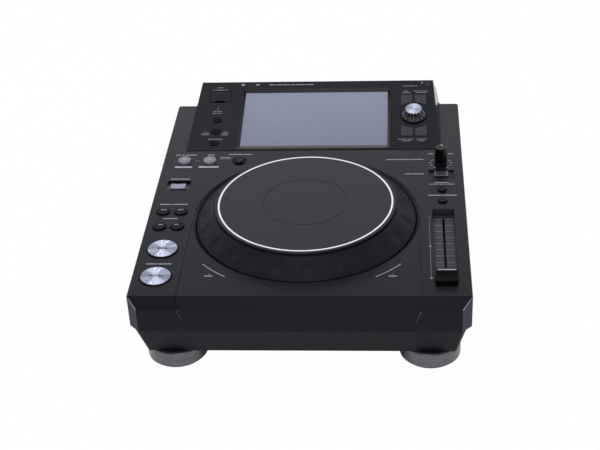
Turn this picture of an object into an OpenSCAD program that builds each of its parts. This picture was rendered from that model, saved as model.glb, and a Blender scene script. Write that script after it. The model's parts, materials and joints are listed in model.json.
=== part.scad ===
// Tabletop media player: tilted touch screen, large jog wheel, tempo fader.
// Millimetres, +Z up, the player faces -Y, origin on the floor under the middle of its box.

/* [Case] */
// Width of the case
case_w = 306; // [296:1:320]
// Distance of the front face from the middle
case_front = 194; // [190:1:198]
// Distance of the rear wall from the middle
rear_wall_y = 184; // [181:1:188]
// Height of the deck above the floor
deck_z = 82.5; // [79:0.5:88]
// Height at which the sides turn under
undercut_z = 49.6; // [48.5:0.1:54]
// How far the undercut draws in at the bottom
undercut_in = 12.6; // [9:0.1:14]
// Ledge under the sides, above the undercut
side_ledge = 5.6; // [3:0.1:7]
// Height of the front chamfer
front_chamfer_h = 9.4; // [6:0.1:12]
// Depth of the front chamfer
front_chamfer_d = 8.9; // [6:0.1:10]
// Cut across the two front corners, seen from above
corner_cut = 8.8; // [6:0.1:12]
// Small bevel along the sides of the deck
deck_edge = 0.8; // [0.4:0.1:1.5]
// Where the shoulders beside the screen unit end
shoulder_end_y = 166.3; // [160:0.1:172]
// Rounding of the shoulders' rear corners
shoulder_round = 3; // [1:0.5:5]
// Thickness of the moulded walls
wall = 2.5; // [2:0.1:3]
// Thickness of the steel tray
tray_t = 2; // [1.5:0.1:2.5]
// Width of the seam grooves on the deck
seam_w = 0.8; // [0.4:0.1:1.2]
// Depth of the seam grooves
seam_d = 0.7; // [0.3:0.1:1]
// Distance of the seams from the middle, on the deck
seam_x = 108.7; // [106:0.1:111]
// How far the seams lean in down the front face
seam_lean = 8.3; // [0:0.1:15]

/* [Feet] */
// Height of the feet
foot_h = 18; // [16:0.5:20]
// Radius of the feet
foot_r = 28; // [24:0.5:30]
// Distance of the feet from the middle, sideways
foot_x = 117; // [108:0.5:120]
// Distance of the front feet from the middle
foot_front_y = 158; // [150:0.5:160]
// Distance of the rear feet from the middle
foot_rear_y = 138; // [120:0.5:145]

/* [Screen unit] */
// Front edge of the screen unit
unit_front_y = 68.6; // [66:0.1:72]
// Step from the deck up to the unit
unit_step = 0.45; // [0.2:0.05:1]
// Slope of the panel
unit_tilt = 11.8; // [9:0.1:13]
// Length of the panel along its slope
unit_len = 111.3; // [106:0.1:114]
// Width of the unit at the deck
unit_w = 264; // [258:1:266]
// How far each side leans in for its height
unit_draft = 0.26; // [0.1:0.01:0.3]
// Groove between the unit and the shoulders
unit_gap = 1; // [0.8:0.1:2]
// How far the unit's skirt reaches below the deck
unit_skirt = 14; // [10:0.5:18]
// Width of the picture
lcd_w = 154.1; // [140:0.1:155]
// Height of the picture along the slope
lcd_h = 86; // [80:0.1:86.5]
// Front edge of the panel to the picture
lcd_start = 9.8; // [9:0.1:11]
// Depth of the glass below the panel
lcd_depth = 3; // [2.6:0.1:4]
// Width of the frame's bevel at the sides
bevel_side = 2.5; // [1:0.1:3]
// Width of the frame's bevel towards the jog wheel
bevel_low = 7; // [4:0.1:7.2]
// Width of the frame's bevel at the rear
bevel_high = 3.5; // [2:0.1:5]
// Land of the frame round its bevel
frame_land = 1.5; // [1:0.1:1.6]
// Thickness of the touch screen
screen_t = 8; // [5:0.5:10]

/* [Jog wheel] */
// Centre of the jog wheel, towards the user
jog_y = -56.6; // [-60:0.1:-54]
// Radius of the top plate
plate_r = 86.5; // [80:0.1:88]
// Height of the top plate above the deck
plate_rise = 16.6; // [14:0.1:20]
// Thickness of the top plate
plate_t = 3.2; // [2.5:0.1:4]
// Travel of the top plate when it is touched
plate_travel = 0.5; // [0.2:0.05:0.6]
// Middle radius of the white ring
ring_r = 82.7; // [76:0.1:84]
// Width of the white ring
ring_w = 1.7; // [1.2:0.1:2.5]
// Radius of the line round the middle of the plate
centre_line_r = 40.2; // [30:0.1:50]
// Outer radius of the skirt
skirt_r = 105; // [101:0.1:105.5]
// Drop from the top plate to the top of the skirt
skirt_drop = 2.8; // [2:0.1:3.5]
// Depth of the skirt's lower edge below the deck
skirt_sink = 1.7; // [0.5:0.1:3]
// Height of the skirt's upright lower edge
skirt_hem = 3.3; // [2:0.1:4]
// Number of finger dimples
dimple_count = 24; // [16:1:30]
// Radius of the ball that forms a dimple
dimple_r = 30; // [24:0.5:36]
// Depth of a dimple
dimple_depth = 1.1; // [0.5:0.1:1.5]
// Gap between the skirt and the well
well_gap = 1; // [0.7:0.1:1.5]
// Width of the bevel round the well
well_bevel = 3; // [1:0.1:3.2]
// Radius of the jog shaft
shaft_r = 4; // [3:0.1:5]
// Number of slots in the code disc
code_slots = 36; // [24:1:48]

/* [Keys] */
// Middle of the key columns, from the side of the case
column_in = 22; // [21.5:0.1:22.5]
// Middle of the play key
play_y = -156; // [-157.5:0.1:-155]
// Middle of the cue key
cue_y = -112; // [-113.5:0.1:-109]
// Radius of the play and cue keys
transport_r = 14.8; // [13:0.1:15.5]
// Radius of the metal caps on the play and cue keys
metal_cap_r = 13.7; // [12:0.1:14.2]
// Middle of the search keys
search_y = -73.8; // [-75:0.1:-72.5]
// Middle of the track keys
track_y = -47.8; // [-49:0.1:-46.5]
// Half the distance between two keys of a pair
pair_half = 8.5; // [8.3:0.1:8.8]
// Radius of the search and track keys
search_r = 6.8; // [6:0.1:6.9]
// Middle of the loop keys
loop_y = 47; // [45:0.1:48]
// Loop in to loop out
loop_step = 26; // [22:0.1:27]
// Loop in to loop exit
exit_step = 56.5; // [50:0.1:57]
// Radius of the loop in and loop out keys
loop_r = 6.5; // [5:0.1:7]
// Radius of the small round keys
small_r = 4.5; // [3.5:0.1:5]
// Radius of the dish round the loop exit key
dish_r = 8.3; // [6:0.1:8.5]
// Middle of the jog mode key
mode_y = 20; // [18:0.1:21]
// Middle of the tempo range key
range_y = -10.2; // [-12:0.1:-9]
// Middle of the master tempo key
master_y = -30.3; // [-32:0.1:-29]
// Travel of a key
key_travel = 1.2; // [0.5:0.1:1.5]
// Height of a key switch
switch_h = 3.5; // [3:0.1:4]
// Underside of the deck to the key boards
board_drop = 13; // [12:0.1:14]
// Thickness of a circuit board
board_t = 1.6; // [1:0.1:2]

/* [Direction lever] */
// Middle of the lever
lever_y = -2.4; // [-4:0.1:0]
// Width of its recess
lever_slot_w = 23.4; // [22:0.1:25]
// Length of its recess, towards the user
lever_slot_d = 16.5; // [14:0.1:18]
// Lever to the rear edge of the recess
lever_back = 11.5; // [9:0.1:12.5]
// Depth of the recess at its rear edge
lever_recess = 3.6; // [2.6:0.1:4]
// Width of the lever's cap
lever_w = 14.6; // [12:0.1:15]
// Depth of the lever's cap
lever_d = 8.6; // [7:0.1:10]
// Travel of the lever to each side
lever_travel = 3; // [2:0.1:3]

/* [Speed knob] */
// Middle of the speed knob
speed_y = 40.5; // [39:0.1:43]
// Radius of the speed knob
speed_r = 6.1; // [5:0.1:7]
// Height of the speed knob above the deck
speed_rise = 19; // [14:0.1:20]

/* [Tempo fader] */
// Travel of the fader
fader_travel = 100; // [90:1:102]
// Middle of the fader's travel
fader_y = -107.7; // [-109:0.1:-107]
// Width of the fader's recess
fader_w = 21; // [19:0.1:22]
// Depth of the recess below the deck
fader_depth = 5.5; // [4:0.1:6]
// Width of the fader's cap
cap_w = 19; // [15:0.1:19]
// Length of the fader's cap
cap_len = 20; // [16:0.1:21]
// Height of the cap's ridge above the deck
cap_rise = 9; // [6:0.1:10]

/* [Selector] */
// Middle of the selector, sideways
selector_x = 104.6; // [103:0.1:106]
// Middle of the selector, along the panel
selector_s = 53.3; // [52:0.1:55]
// Radius of the selector's foot
selector_r = 13; // [11:0.1:13.4]
// Radius of the selector's grip
grip_r = 9.4; // [8:0.1:10]
// Height of the selector above the panel
selector_h = 9.4; // [8.6:0.1:12]
// Travel of the selector when it is pushed
push_travel = 0.8; // [0.3:0.1:1]
// Radius of the dish round the selector
selector_dish_r = 14.3; // [13.7:0.1:15]
// Width of a browse key
browse_w = 12.3; // [10:0.1:12.6]
// Length of a browse key
browse_len = 16.2; // [12:0.1:17]
// Selector to browse keys, sideways
browse_dx = 7.3; // [7.2:0.1:8]
// Selector to browse keys, along the panel
browse_ds = 24.8; // [24:0.1:26]
// Radius of the arc that the browse keys end at
browse_arc = 20.5; // [19:0.1:22]

/* [Usb port] */
// Middle of the keys on the left of the panel
usb_x = -104; // [-106:0.1:-102]
// Hinge of the flap, along the panel
flap_s = 94; // [93:0.1:95]
// Width of the flap
flap_w = 22; // [20:0.1:24]
// Length of the flap from its hinge
flap_len = 17; // [15:0.1:18]
// Thickness of the flap
flap_t = 1.3; // [1:0.1:1.4]
// Middle of the usb stop key, along the panel
stop_s = 47.9; // [46:0.1:50]
// Middle of the time mode key, along the panel
time_s = 29.5; // [28:0.1:31]
// Middle of the quantize key, along the panel
quantize_s = 11.5; // [11:0.1:13]

/* [Rear] */
// Middle of the power inlet
inlet_x = -92; // [-95:0.5:-85]
// Middle of the power button
power_x = -52; // [-56:0.5:-48]
// Middle of the network socket
lan_x = 30; // [25:0.5:35]
// Middle of the usb device socket
device_x = 58; // [52:0.5:62]
// Middle of the first audio socket
audio_x = 82; // [78:0.5:84]
// Distance between the audio sockets
audio_step = 18; // [14:0.5:18]
// Reach of the audio sockets out of the rear wall
audio_out = 10; // [7:0.5:12]
// Travel of the power button
power_travel = 2.5; // [1:0.1:3]

/* [Fits] */
// Clearance of a key in its hole
key_gap = 0.35; // [0.3:0.05:0.5]
// Gap between a piece and the seat that stops it
seat_gap = 0.3; // [0.2:0.05:0.4]
// Radial clearance of a shaft in its bearing
run_gap = 0.05; // [0.03:0.01:0.08]
// Clearance of a fixed piece in its cut-out
set_gap = 0.15; // [0.1:0.05:0.3]

/* [Hidden] */
$fn = 96;
big = 600;
// Cutters reach this far past the faces that they open
over = 1;
// Shapes of one moulding run this far into each other
weld = 0.3;
// Lifts the rim of a cone off the face that it opens
film = 0.001;
bay_gap = 0.5;

half_w = case_w / 2;
bottom_z = foot_h;
tray_top = bottom_z + tray_t;
deck_low = deck_z - wall;
unit_half = unit_w / 2;
notch_half = unit_half + unit_gap;
notch_y = unit_front_y - bay_gap;
unit_low = deck_z - unit_skirt;
unit_front_z = deck_z + unit_step;
unit_back_y = unit_front_y + unit_len * cos(unit_tilt);
unit_back_z = unit_front_z + unit_len * sin(unit_tilt);
rear_break = 12;
unit_deep_in = 16;
unit_deep_y = shoulder_end_y - unit_deep_in;
ledge_in = 30;
ledge_half = notch_half - ledge_in;
ledge_d = 6;
unit_column_rise = 8;
// The grooves beside the unit are closed at the rear
groove_end = 3;

// Levels of a key, from the surface round it
flange_lip = 1;
// A rounded edge is two bevels, which meet at this share
soft_edge = 0.3;
flange_t = 1.2;
post_r = 1.6;
flange_top = -(wall + seat_gap);
flange_low = flange_top - flange_t;
board_top = -(wall + board_drop);
key_foot = board_top + switch_h + key_travel + seat_gap;
switch_side = 6;
post_out_r = 3;
panel_post_r = 2.5;
well_r = skirt_r + well_gap;
well_bevel_d = 2;
base_clear = 1;
base_wall = 1.5;
base_flange_w = 3.5;
base_in_r = well_r + base_clear;
base_out_r = base_in_r + base_wall;
base_flange_r = base_out_r + base_flange_w;

// Sizes of the key columns are drawn for this width beside the jog wheel
column_w = 41;
column_fit = (half_w - base_flange_r) / column_w;
right_x = half_w - column_in * column_fit;
left_x = -right_x;
pair_x = pair_half * column_fit;
pair_r = search_r * column_fit;
transport_key_r = transport_r * column_fit;
cap_disc_r = metal_cap_r * column_fit;
loop_key_r = loop_r * column_fit;
small_key_r = small_r * column_fit;
exit_dish_r = dish_r * column_fit;
slot_w = lever_slot_w * column_fit;
lever_cap_w = lever_w * column_fit;
recess_w = fader_w * column_fit;
fader_cap_w = cap_w * column_fit;
speed_post_dx = 13 * column_fit;
speed_post_dy = 15;
transport_rise = 0.9;
transport_edge = 0.4;
metal_cap_t = 1;
metal_cap_rise = 0.3;
metal_cap_edge = 0.3;
loop_rise = 3;
loop_edge = 1.4;
search_rise = 1.4;
search_edge = 0.8;
small_rise = 1.6;
small_edge = 0.7;
panel_key_rise = 1;
mode_w = 14.2 * column_fit;
mode_d = 8.4;
mode_frame_w = 25 * column_fit;
mode_frame_d = 14.6;
mode_frame_depth = 1.4;
mode_rise = 0.6;
browse_rise = 0.5;
dish_depth = 1.2;
exit_dish_depth = 2;
dish_land = 0.6;

// Round keys on the deck: x, y, radius, height
cue_place = [left_x, cue_y];
play_place = [left_x, play_y];
track_places = [[left_x - pair_x, track_y], [left_x + pair_x, track_y]];
search_places = [[left_x - pair_x, search_y], [left_x + pair_x, search_y]];
loop_in_place = [left_x, loop_y];
loop_out_place = [left_x + loop_step * column_fit, loop_y];
loop_exit_place = [left_x + exit_step * column_fit, loop_y];
range_place = [right_x, range_y];
master_place = [right_x, master_y];
mode_place = [right_x, mode_y];
stop_place = [usb_x, stop_s];
time_place = [usb_x, time_s];
quantize_place = [usb_x, quantize_s];
browse_places = [for (ds = [browse_ds, -browse_ds], dx = [-browse_dx, browse_dx])
    [selector_x + dx, selector_s + ds]];

deck_round_keys = concat(
    [for (p = concat(track_places, search_places)) [p, pair_r]],
    [for (p = [cue_place, play_place]) [p, transport_key_r]],
    [for (p = [loop_in_place, loop_out_place]) [p, loop_key_r]],
    [for (p = [loop_exit_place, range_place, master_place]) [p, small_key_r]]
);
panel_round_keys = [[stop_place, small_r], [time_place, small_r], [quantize_place, small_r]];

// Jog wheel
plate_top = deck_z + plate_rise;
plate_low = plate_top - plate_t;
web_top = plate_low - plate_travel - seat_gap;
web_t = 2.5;
web_low = web_top - web_t;
rim_gap = 0.6;
rim_w = 1.4;
rim_r = plate_r + rim_gap;
skirt_top_r = rim_r + rim_w;
skirt_top_z = plate_top - skirt_drop;
skirt_foot_z = deck_z - skirt_sink;
skirt_low_z = skirt_foot_z - skirt_hem;
skirt_wall = 5.5;
slope_run = skirt_r - skirt_top_r;
slope_fall = skirt_top_z - skirt_foot_z;
slope_angle = atan2(slope_fall, slope_run);
// Turn of the first dimple from the x axis
dimple_turn = 4;
base_flange_t = 2;
base_drop = 16;
base_floor_t = 2.5;
base_floor_low = skirt_low_z - base_drop;
base_floor_top = base_floor_low + base_floor_t;
hub_r = 16;
hub_t = 4;
hub_spigot_r = 6;
bearing_r = 9;
bearing_drop = 2.6;
bearing_top = web_low - hub_t - bearing_drop;
disc_t = 1.2;
disc_r = 34;
guide_ring_r = 60;
guide_count = 3;
plate_edge = 0.6;
ring_sink = 1;
ring_rise = 0.1;
centre_line_w = 0.5;
centre_line_d = 0.4;
shaft_stub = 2;
code_slot = [4, 1.4];
code_margin = 2;
bearing_lip = 2;
boss_wall = 6;
sensor_size = [10, 12];
sensor_back = 3;
sensor_gap = 1.2;
guide_r = 2.5;

// Fader
fader_floor = deck_z - fader_depth;
fader_plate_t = 1.5;
fader_plate_low = fader_floor - fader_plate_t;
end_room = 2.7;
fader_len = fader_travel + cap_len + 2 * end_room;
fader_rim = 1.5;
fader_rest_y = fader_y - fader_travel / 2;
blade_t = 1.2;
blade_len = 5;
fader_slot_w = 2;
slot_room = 1;
fader_slot_len = fader_travel + blade_len + 2 * slot_room;
fader_body_w = 15 * column_fit;
fader_body_h = 10;
fader_body_floor = 3;
fader_body_drop = 3;
fader_body_top = fader_plate_low - fader_body_drop;
fader_tab = 4;
blade_rise = 2;
blade_top = deck_z + blade_rise;
cap_lift = 0.5;
cap_ridge_h = 5;
cap_ridge_w = 3.2;
cap_edge = 0.6;
cap_swell = 1.5;

// Selector
selector_bore = 6;
selector_shaft_r = 3;
selector_flutes = 16;
flute_r = 1.7;
flute_out = 0.9;
flute_low = 2.4;
foot_top = 0.9;
foot_edge = 0.4;
flare = selector_r - foot_edge - grip_r;
flare_step = 15;
grip_taper = 0.2;
grip_top_r = grip_r - grip_taper;
selector_cap_t = 0.8;
selector_cap_edge = 0.4;
selector_lift = 0.4;
encoder_side = 13;
encoder_h = 6.5;
bush_r = 4.6;
speed_bush_r = 3.4;
bush_floor = 2;

// Usb flap
hinge_r = 1.4;
hinge_pin_r = 0.8;
hinge_pin_len = 1.5;
flap_gap = 0.4;
pocket_depth = 7;
pocket_wall = 1.5;
socket_w = 14.4;
socket_d = 7.1;
socket_len = 14;
mouth_w = 12.5;
mouth_d = 5.12;
mouth_depth = 12;
socket_rise = 1;
socket_top = -pocket_depth + pocket_wall + socket_rise;
socket_lip = 2;
socket_lip_t = 1;

// Screws
screw_r = 1.5;
screw_len = 14;
screw_head_r = 2.75;
screw_head_h = 1.8;
screw_gap = 0.2;
foot_bore_h = 10;
foot_bore_r = screw_head_r + 1;
foot_low_edge = 2.2;
foot_top_edge = 1.5;
column_r = 4;
unit_column_in = 8;
unit_column_x = min(unit_half - set_gap, half_w - undercut_in) - tray_t - column_r;
front_column_x = 60;
front_column_in = 22;
inner_column_x = 56;
column_places = [for (side = [-1, 1]) [side * front_column_x, -(case_front - front_column_in)]];
inner_column_places = [for (side = [-1, 1]) [side * inner_column_x, notch_y - wall - column_r - over]];
unit_column_places = [for (side = [-1, 1]) [side * unit_column_x, rear_wall_y - unit_column_in]];
foot_places = [for (side = [-1, 1], y = [-foot_front_y, foot_rear_y]) [side * foot_x, y]];

// Rear sockets stand on the main board
board_rise = 8;
main_board_z = tray_top + board_rise;
main_board_top = main_board_z + board_t;
main_board_area = [-28, 68, 136, 110];
power_board_area = [-108, 68, 76, 92];
post_inset = 6;
function board_posts(area) = [
    for (x = [post_inset, area[2] - post_inset], y = [post_inset, area[3] - post_inset])
        [area[0] + x, area[1] + y]
];
rear_plate_t = 1.2;
rear_plate_half = 120;
rear_lap = 2;
rear_window_half = rear_plate_half - rear_lap;
rear_low_edge = 4;
rear_high_edge = 3;
rear_window_low = tray_top + rear_low_edge;
rear_window_high = undercut_z - rear_high_edge;
rear_mid_z = (rear_window_low + rear_window_high) / 2;
inlet_w = 27;
inlet_h = 19;
inlet_mouth_w = 24.4;
inlet_mouth_h = 16.6;
inlet_depth = 15;
inlet_len = 18;
inlet_pin_sink = 3.5;
inlet_pin_step = 7;
lan_w = 16;
lan_h = 13.4;
lan_mouth_w = 12;
lan_mouth_h = 8;
lan_depth = 12;
lan_len = 18;
lan_mouth_low = 2.4;
device_w = 12;
device_h = 11;
device_mouth_w = 8.6;
device_mouth_h = 7.8;
device_depth = 9;
device_len = 16;
device_mouth_low = 1.6;
socket_out = 1.5;
audio_r = 4.2;
audio_body = 11;
audio_bore_r = 1.7;
audio_bore_floor = 3;
power_r = 5;
power_rise = 5;
power_edge = 0.6;
power_stem_r = 3;
power_stem_len = 14;
power_switch_y = rear_wall_y - power_stem_len - power_travel - seat_gap;

plastic = "#3a3a40";
dark = "#26262a";
metal = "#b9bac2";
board = "#2f5d3a";

// Placing helpers

module on_deck(place) {
    translate([place[0], place[1], deck_z])
        children();
}

// The panel's frame: y up the slope from its front edge, z out of it
module on_panel(place = [0, 0]) {
    translate([0, unit_front_y, unit_front_z])
        rotate([unit_tilt, 0, 0])
            translate([place[0], place[1], 0])
                children();
}

module on_jog() {
    translate([0, jog_y, 0])
        children();
}

// An outline drawn in y and z, drawn out along x
module across(width) {
    rotate([90, 0, 90])
        linear_extrude(width, center = true)
            children();
}

// An outline drawn in x and z, drawn out along y
module along(length) {
    rotate([90, 0, 0])
        linear_extrude(length, center = true)
            children();
}

module block(size, low) {
    translate([-size[0] / 2, -size[1] / 2, low])
        cube(size);
}

// Case

// What the rounding of a corner at the origin takes away
module corner_round(r) {
    difference() {
        translate([-r, -r])
            square(r + over);
        translate([-r, -r])
            circle(r);
    }
}

module case_plan(inset, tail) {
    w = half_w - inset;
    front = case_front - inset;
    turn = (sqrt(2) - 1) * inset;
    shoulder = shoulder_end_y - inset;
    difference() {
        polygon([
            [-w, shoulder], [-w, -(case_front - corner_cut) + turn],
            [-(half_w - corner_cut - turn), -front], [half_w - corner_cut - turn, -front],
            [w, -(case_front - corner_cut) + turn], [w, shoulder]
        ]);
        if (inset == 0)
            for (side = [0, 1])
                mirror([side, 0])
                    translate([w, shoulder])
                        corner_round(shoulder_round);
    }
    if (tail)
        translate([-(unit_half - inset), shoulder - over])
            square([2 * (unit_half - inset), rear_wall_y - shoulder_end_y + over]);
}

module side_outline(inset) {
    w = half_w - inset;
    low = w - undercut_in;
    edge = inset == 0 ? deck_edge : 0;
    polygon([
        [-low, bottom_z], [side_ledge - w, undercut_z], [-w, undercut_z], [-w, deck_z - edge],
        [-w + edge, deck_z], [w - edge, deck_z],
        [w, deck_z - edge], [w, undercut_z], [w - side_ledge, undercut_z], [low, bottom_z]
    ]);
}

// The undercut and a chamfer, seen from the side
module front_outline(inset, front, chamfer_d, chamfer_h) {
    f = front - inset;
    polygon([
        [-(f - undercut_in), bottom_z], [-f, undercut_z], [-f, deck_z - chamfer_h],
        [-(f - chamfer_d), deck_z],
        [case_front + rear_wall_y, deck_z], [case_front + rear_wall_y, bottom_z]
    ]);
}

module case_block(inset, low, high, tail) {
    corner_front = (half_w + case_front - corner_cut) / sqrt(2);
    edge = inset == 0 ? deck_edge : 0;
    intersection() {
        translate([0, 0, low])
            linear_extrude(high - low)
                case_plan(inset, tail);
        along(big * 2)
            side_outline(inset);
        across(big * 2)
            front_outline(inset, case_front, front_chamfer_d, front_chamfer_h);
        rotate([0, 0, 45])
            across(big * 2)
                front_outline(inset, corner_front, edge, edge);
        rotate([0, 0, -45])
            across(big * 2)
                front_outline(inset, corner_front, edge, edge);
    }
}

// The bay of the screen unit, grown by a margin
module unit_bay(grow) {
    groove_len = shoulder_end_y - groove_end - notch_y;
    translate([-(notch_half + grow), notch_y - grow, 0])
        cube([2 * (notch_half + grow), groove_len + 2 * grow, big]);
    translate([-(unit_half + bay_gap + grow), notch_y - grow, 0])
        cube([2 * (unit_half + bay_gap + grow), big, big]);
}

// The ledge under the front of the screen unit
module unit_ledge() {
    translate([-ledge_half, notch_y - weld, unit_low - wall])
        cube([2 * ledge_half, ledge_d, wall]);
}

module seam(side) {
    rim = well_r + well_bevel;
    deck_start = jog_y - sqrt(pow(rim, 2) - pow(min(seam_x, rim), 2));
    front_top = deck_z - front_chamfer_h;
    lean = atan2(seam_lean, front_top - undercut_z);
    translate([side * seam_x - seam_w / 2, -(case_front - front_chamfer_d), deck_z - seam_d])
        cube([seam_w, deck_start + case_front - front_chamfer_d, seam_d + over]);
    intersection() {
        translate([side * seam_x - seam_w / 2, -case_front, deck_z - front_chamfer_h - seam_d])
            cube([seam_w, front_chamfer_d + seam_d, front_chamfer_h + over]);
        across(big)
            polygon([
                [-case_front, front_top - seam_d], [-case_front + seam_d, front_top - seam_d],
                [-(case_front - front_chamfer_d) + seam_d, deck_z - seam_d],
                [-(case_front - front_chamfer_d) + seam_d, deck_z + over],
                [-(case_front - front_chamfer_d), deck_z + over], [-case_front, front_top + over]
            ]);
    }
    translate([side * (seam_x - seam_lean), -case_front, undercut_z])
        rotate([0, side * lean, 0])
            translate([-seam_w / 2, -over, -seam_w])
                cube([seam_w, over + seam_d, (front_top - undercut_z) / cos(lean) + seam_w]);
}

// Posts from the deck to the key boards
left_posts = [for (y = [(play_y + cue_y) / 2, (search_y + track_y) / 2, (track_y + lever_y) / 2,
    (lever_y + loop_y) / 2]) [left_x, y]];
right_posts = concat([for (y = [(mode_y + range_y) / 2, (range_y + master_y) / 2]) [right_x, y]],
    [for (side = [-1, 1]) [right_x + side * speed_post_dx, speed_y + speed_post_dy]]);

module deck_holes() {
    for (key = deck_round_keys)
        on_deck(key[0])
            translate([0, 0, -wall - over])
                cylinder(r = key[1] + key_gap, h = wall + 2 * over);
    on_deck(loop_exit_place)
        translate([0, 0, -exit_dish_depth])
            cylinder(r1 = small_key_r + key_gap + dish_land, r2 = exit_dish_r, h = exit_dish_depth + film);
    on_deck(mode_place) {
        block([mode_frame_w, mode_frame_d, mode_frame_depth + over], -mode_frame_depth);
        block([mode_w + 2 * key_gap, mode_d + 2 * key_gap, wall + 2 * over], -wall - over);
    }
    on_deck([left_x, lever_y]) {
        across(slot_w)
            polygon([[lever_front, 0], [lever_back, -lever_recess], [lever_back, over], [lever_front, over]]);
        stem_slot(-big);
    }
    on_deck([right_x, speed_y])
        translate([0, 0, -wall - over])
            cylinder(r = speed_bush_r + set_gap, h = wall + 2 * over);
    on_deck([right_x, fader_y])
        block([recess_w, fader_len, big], -fader_depth - over);
    on_jog() {
        cylinder(r = well_r, h = big);
        translate([0, 0, deck_z - well_bevel_d])
            cylinder(r1 = well_r, r2 = well_r + well_bevel, h = well_bevel_d + film);
    }
}

module screw_column(low, high) {
    difference() {
        translate([0, 0, low])
            cylinder(r = column_r, h = high - low);
        translate([0, 0, low - over])
            cylinder(r = screw_r + run_gap, h = screw_len + over);
    }
}

// The underside of the ledges, which the tray's sides meet
module side_ledges() {
    intersection() {
        case_block(0, undercut_z, undercut_z + wall, false);
        for (side = [-1, 1])
            translate([side * half_w, 0, 0])
                cube([2 * (side_ledge + tray_t), big, big], center = true);
    }
}

module top_case() {
    color(plastic)
        difference() {
            union() {
                difference() {
                    case_block(0, undercut_z, deck_z, false);
                    difference() {
                        case_block(wall, undercut_z - over, deck_low, false);
                        unit_bay(wall);
                    }
                }
                side_ledges();
                for (p = concat(left_posts, right_posts))
                    on_deck(p)
                        translate([0, 0, board_top])
                            cylinder(r = post_out_r, h = board_drop + weld);
                for (p = concat(column_places, inner_column_places))
                    translate([p[0], p[1], 0])
                        screw_column(tray_top, deck_low + weld);
                on_deck([right_x, fader_y])
                    block([recess_w + 2 * fader_rim, fader_len + 2 * fader_rim, fader_depth - wall + weld],
                        -fader_depth);
                on_deck([left_x, lever_y + lever_mid])
                    block([slot_w + 2 * pan_side, lever_slot_d + 2 * pan_side, pan_t + weld], pan_low);
                unit_ledge();
            }
            difference() {
                unit_bay(0);
                unit_ledge();
            }
            deck_holes();
            for (side = [-1, 1])
                seam(side);
        }
}

module bottom_case() {
    color(dark)
        difference() {
            union() {
                difference() {
                    case_block(0, bottom_z, undercut_z, true);
                    case_block(tray_t, tray_top, undercut_z + over, true);
                }
                for (p = concat(board_posts(main_board_area), board_posts(power_board_area)))
                    translate([p[0], p[1], tray_top - weld])
                        cylinder(r = post_out_r, h = main_board_z - tray_top + weld);
                for (p = foot_places)
                    translate([p[0], p[1], tray_top - weld])
                        cylinder(r = column_r, h = screw_len);
            }
            for (p = foot_places)
                translate([p[0], p[1], 0])
                    cylinder(r = screw_r + run_gap, h = foot_bore_h + screw_len + over);
            for (p = concat(column_places, inner_column_places, unit_column_places))
                translate([p[0], p[1], 0])
                    cylinder(r = screw_r + screw_gap, h = tray_top + over);
            translate([-rear_window_half, rear_wall_y - tray_t - over, rear_window_low])
                cube([2 * rear_window_half, tray_t + 2 * over, rear_window_high - rear_window_low]);
        }
}

module feet() {
    color("#77777d")
        for (p = foot_places)
            translate([p[0], p[1], 0])
                rotate_extrude()
                    polygon([
                        [foot_bore_r, 0], [foot_r - foot_low_edge, 0], [foot_r, foot_low_edge],
                        [foot_r, bottom_z - foot_top_edge], [foot_r - foot_top_edge, bottom_z],
                        [screw_r + screw_gap, bottom_z], [screw_r + screw_gap, foot_bore_h],
                        [foot_bore_r, foot_bore_h]
                    ]);
}

module screw(z) {
    translate([0, 0, z - screw_head_h])
        cylinder(r = screw_head_r, h = screw_head_h);
    translate([0, 0, z - weld])
        cylinder(r = screw_r, h = screw_len + weld);
}

module case_screws() {
    color(metal) {
        for (p = foot_places)
            translate([p[0], p[1], 0])
                screw(foot_bore_h);
        for (p = concat(column_places, inner_column_places, unit_column_places))
            translate([p[0], p[1], 0])
                screw(bottom_z);
    }
}

// Screen unit

module unit_side_outline(inset) {
    top = unit_back_z + over;
    lean = unit_draft * (top - deck_z);
    w = unit_half - inset;
    polygon([[-w, 0], [-w, deck_z], [-w + lean, top], [w - lean, top], [w, deck_z], [w, 0]]);
}

module unit_front_outline(inset) {
    drop = inset / cos(unit_tilt);
    start_y = unit_front_y + inset;
    start_z = unit_front_z - drop + inset * tan(unit_tilt);
    end_y = unit_back_y - inset;
    end_z = start_z + (end_y - start_y) * tan(unit_tilt);
    sink = inset > 0 ? over : 0;
    polygon([
        [start_y, unit_low - sink], [start_y, start_z], [end_y, end_z],
        [rear_wall_y - inset, end_z - rear_break], [rear_wall_y - inset, undercut_z - sink],
        [unit_deep_y + inset, undercut_z - sink], [unit_deep_y + inset, unit_low - sink]
    ]);
}

module unit_block(inset) {
    intersection() {
        along(big * 2)
            unit_side_outline(inset);
        across(big)
            unit_front_outline(inset);
    }
}

frame_half = lcd_w / 2 + bevel_side + frame_land;
frame_low = lcd_start - bevel_low - frame_land;
frame_high = lcd_start + lcd_h + bevel_high + frame_land;
flap_front = flap_s - flap_len;
flap_back = flap_s + hinge_r + flap_gap;
panel_board_w = 40;
panel_board_start = 4;
panel_board_end = 99;
panel_post_dx = 16;
usb_post_s = [7, 68];
selector_post_s = [10, 96];
usb_posts = [for (side = [-1, 1], s = usb_post_s) [usb_x + side * panel_post_dx, s]];
selector_posts = [for (side = [-1, 1], s = selector_post_s) [selector_x + side * panel_post_dx, s]];
usb_port_place = [usb_x, (flap_front + flap_s) / 2];

module pocket(grow) {
    translate([usb_x - flap_w / 2 - flap_gap - grow, flap_front - flap_gap - grow, 0])
        cube([flap_w + 2 * flap_gap + 2 * grow, flap_back - flap_front + flap_gap + 2 * grow, pocket_depth]);
}

// A round column about the selector's axis
module round_selector(r) {
    translate([selector_x, selector_s, -big])
        cylinder(r = r, h = 2 * big);
}

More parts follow.
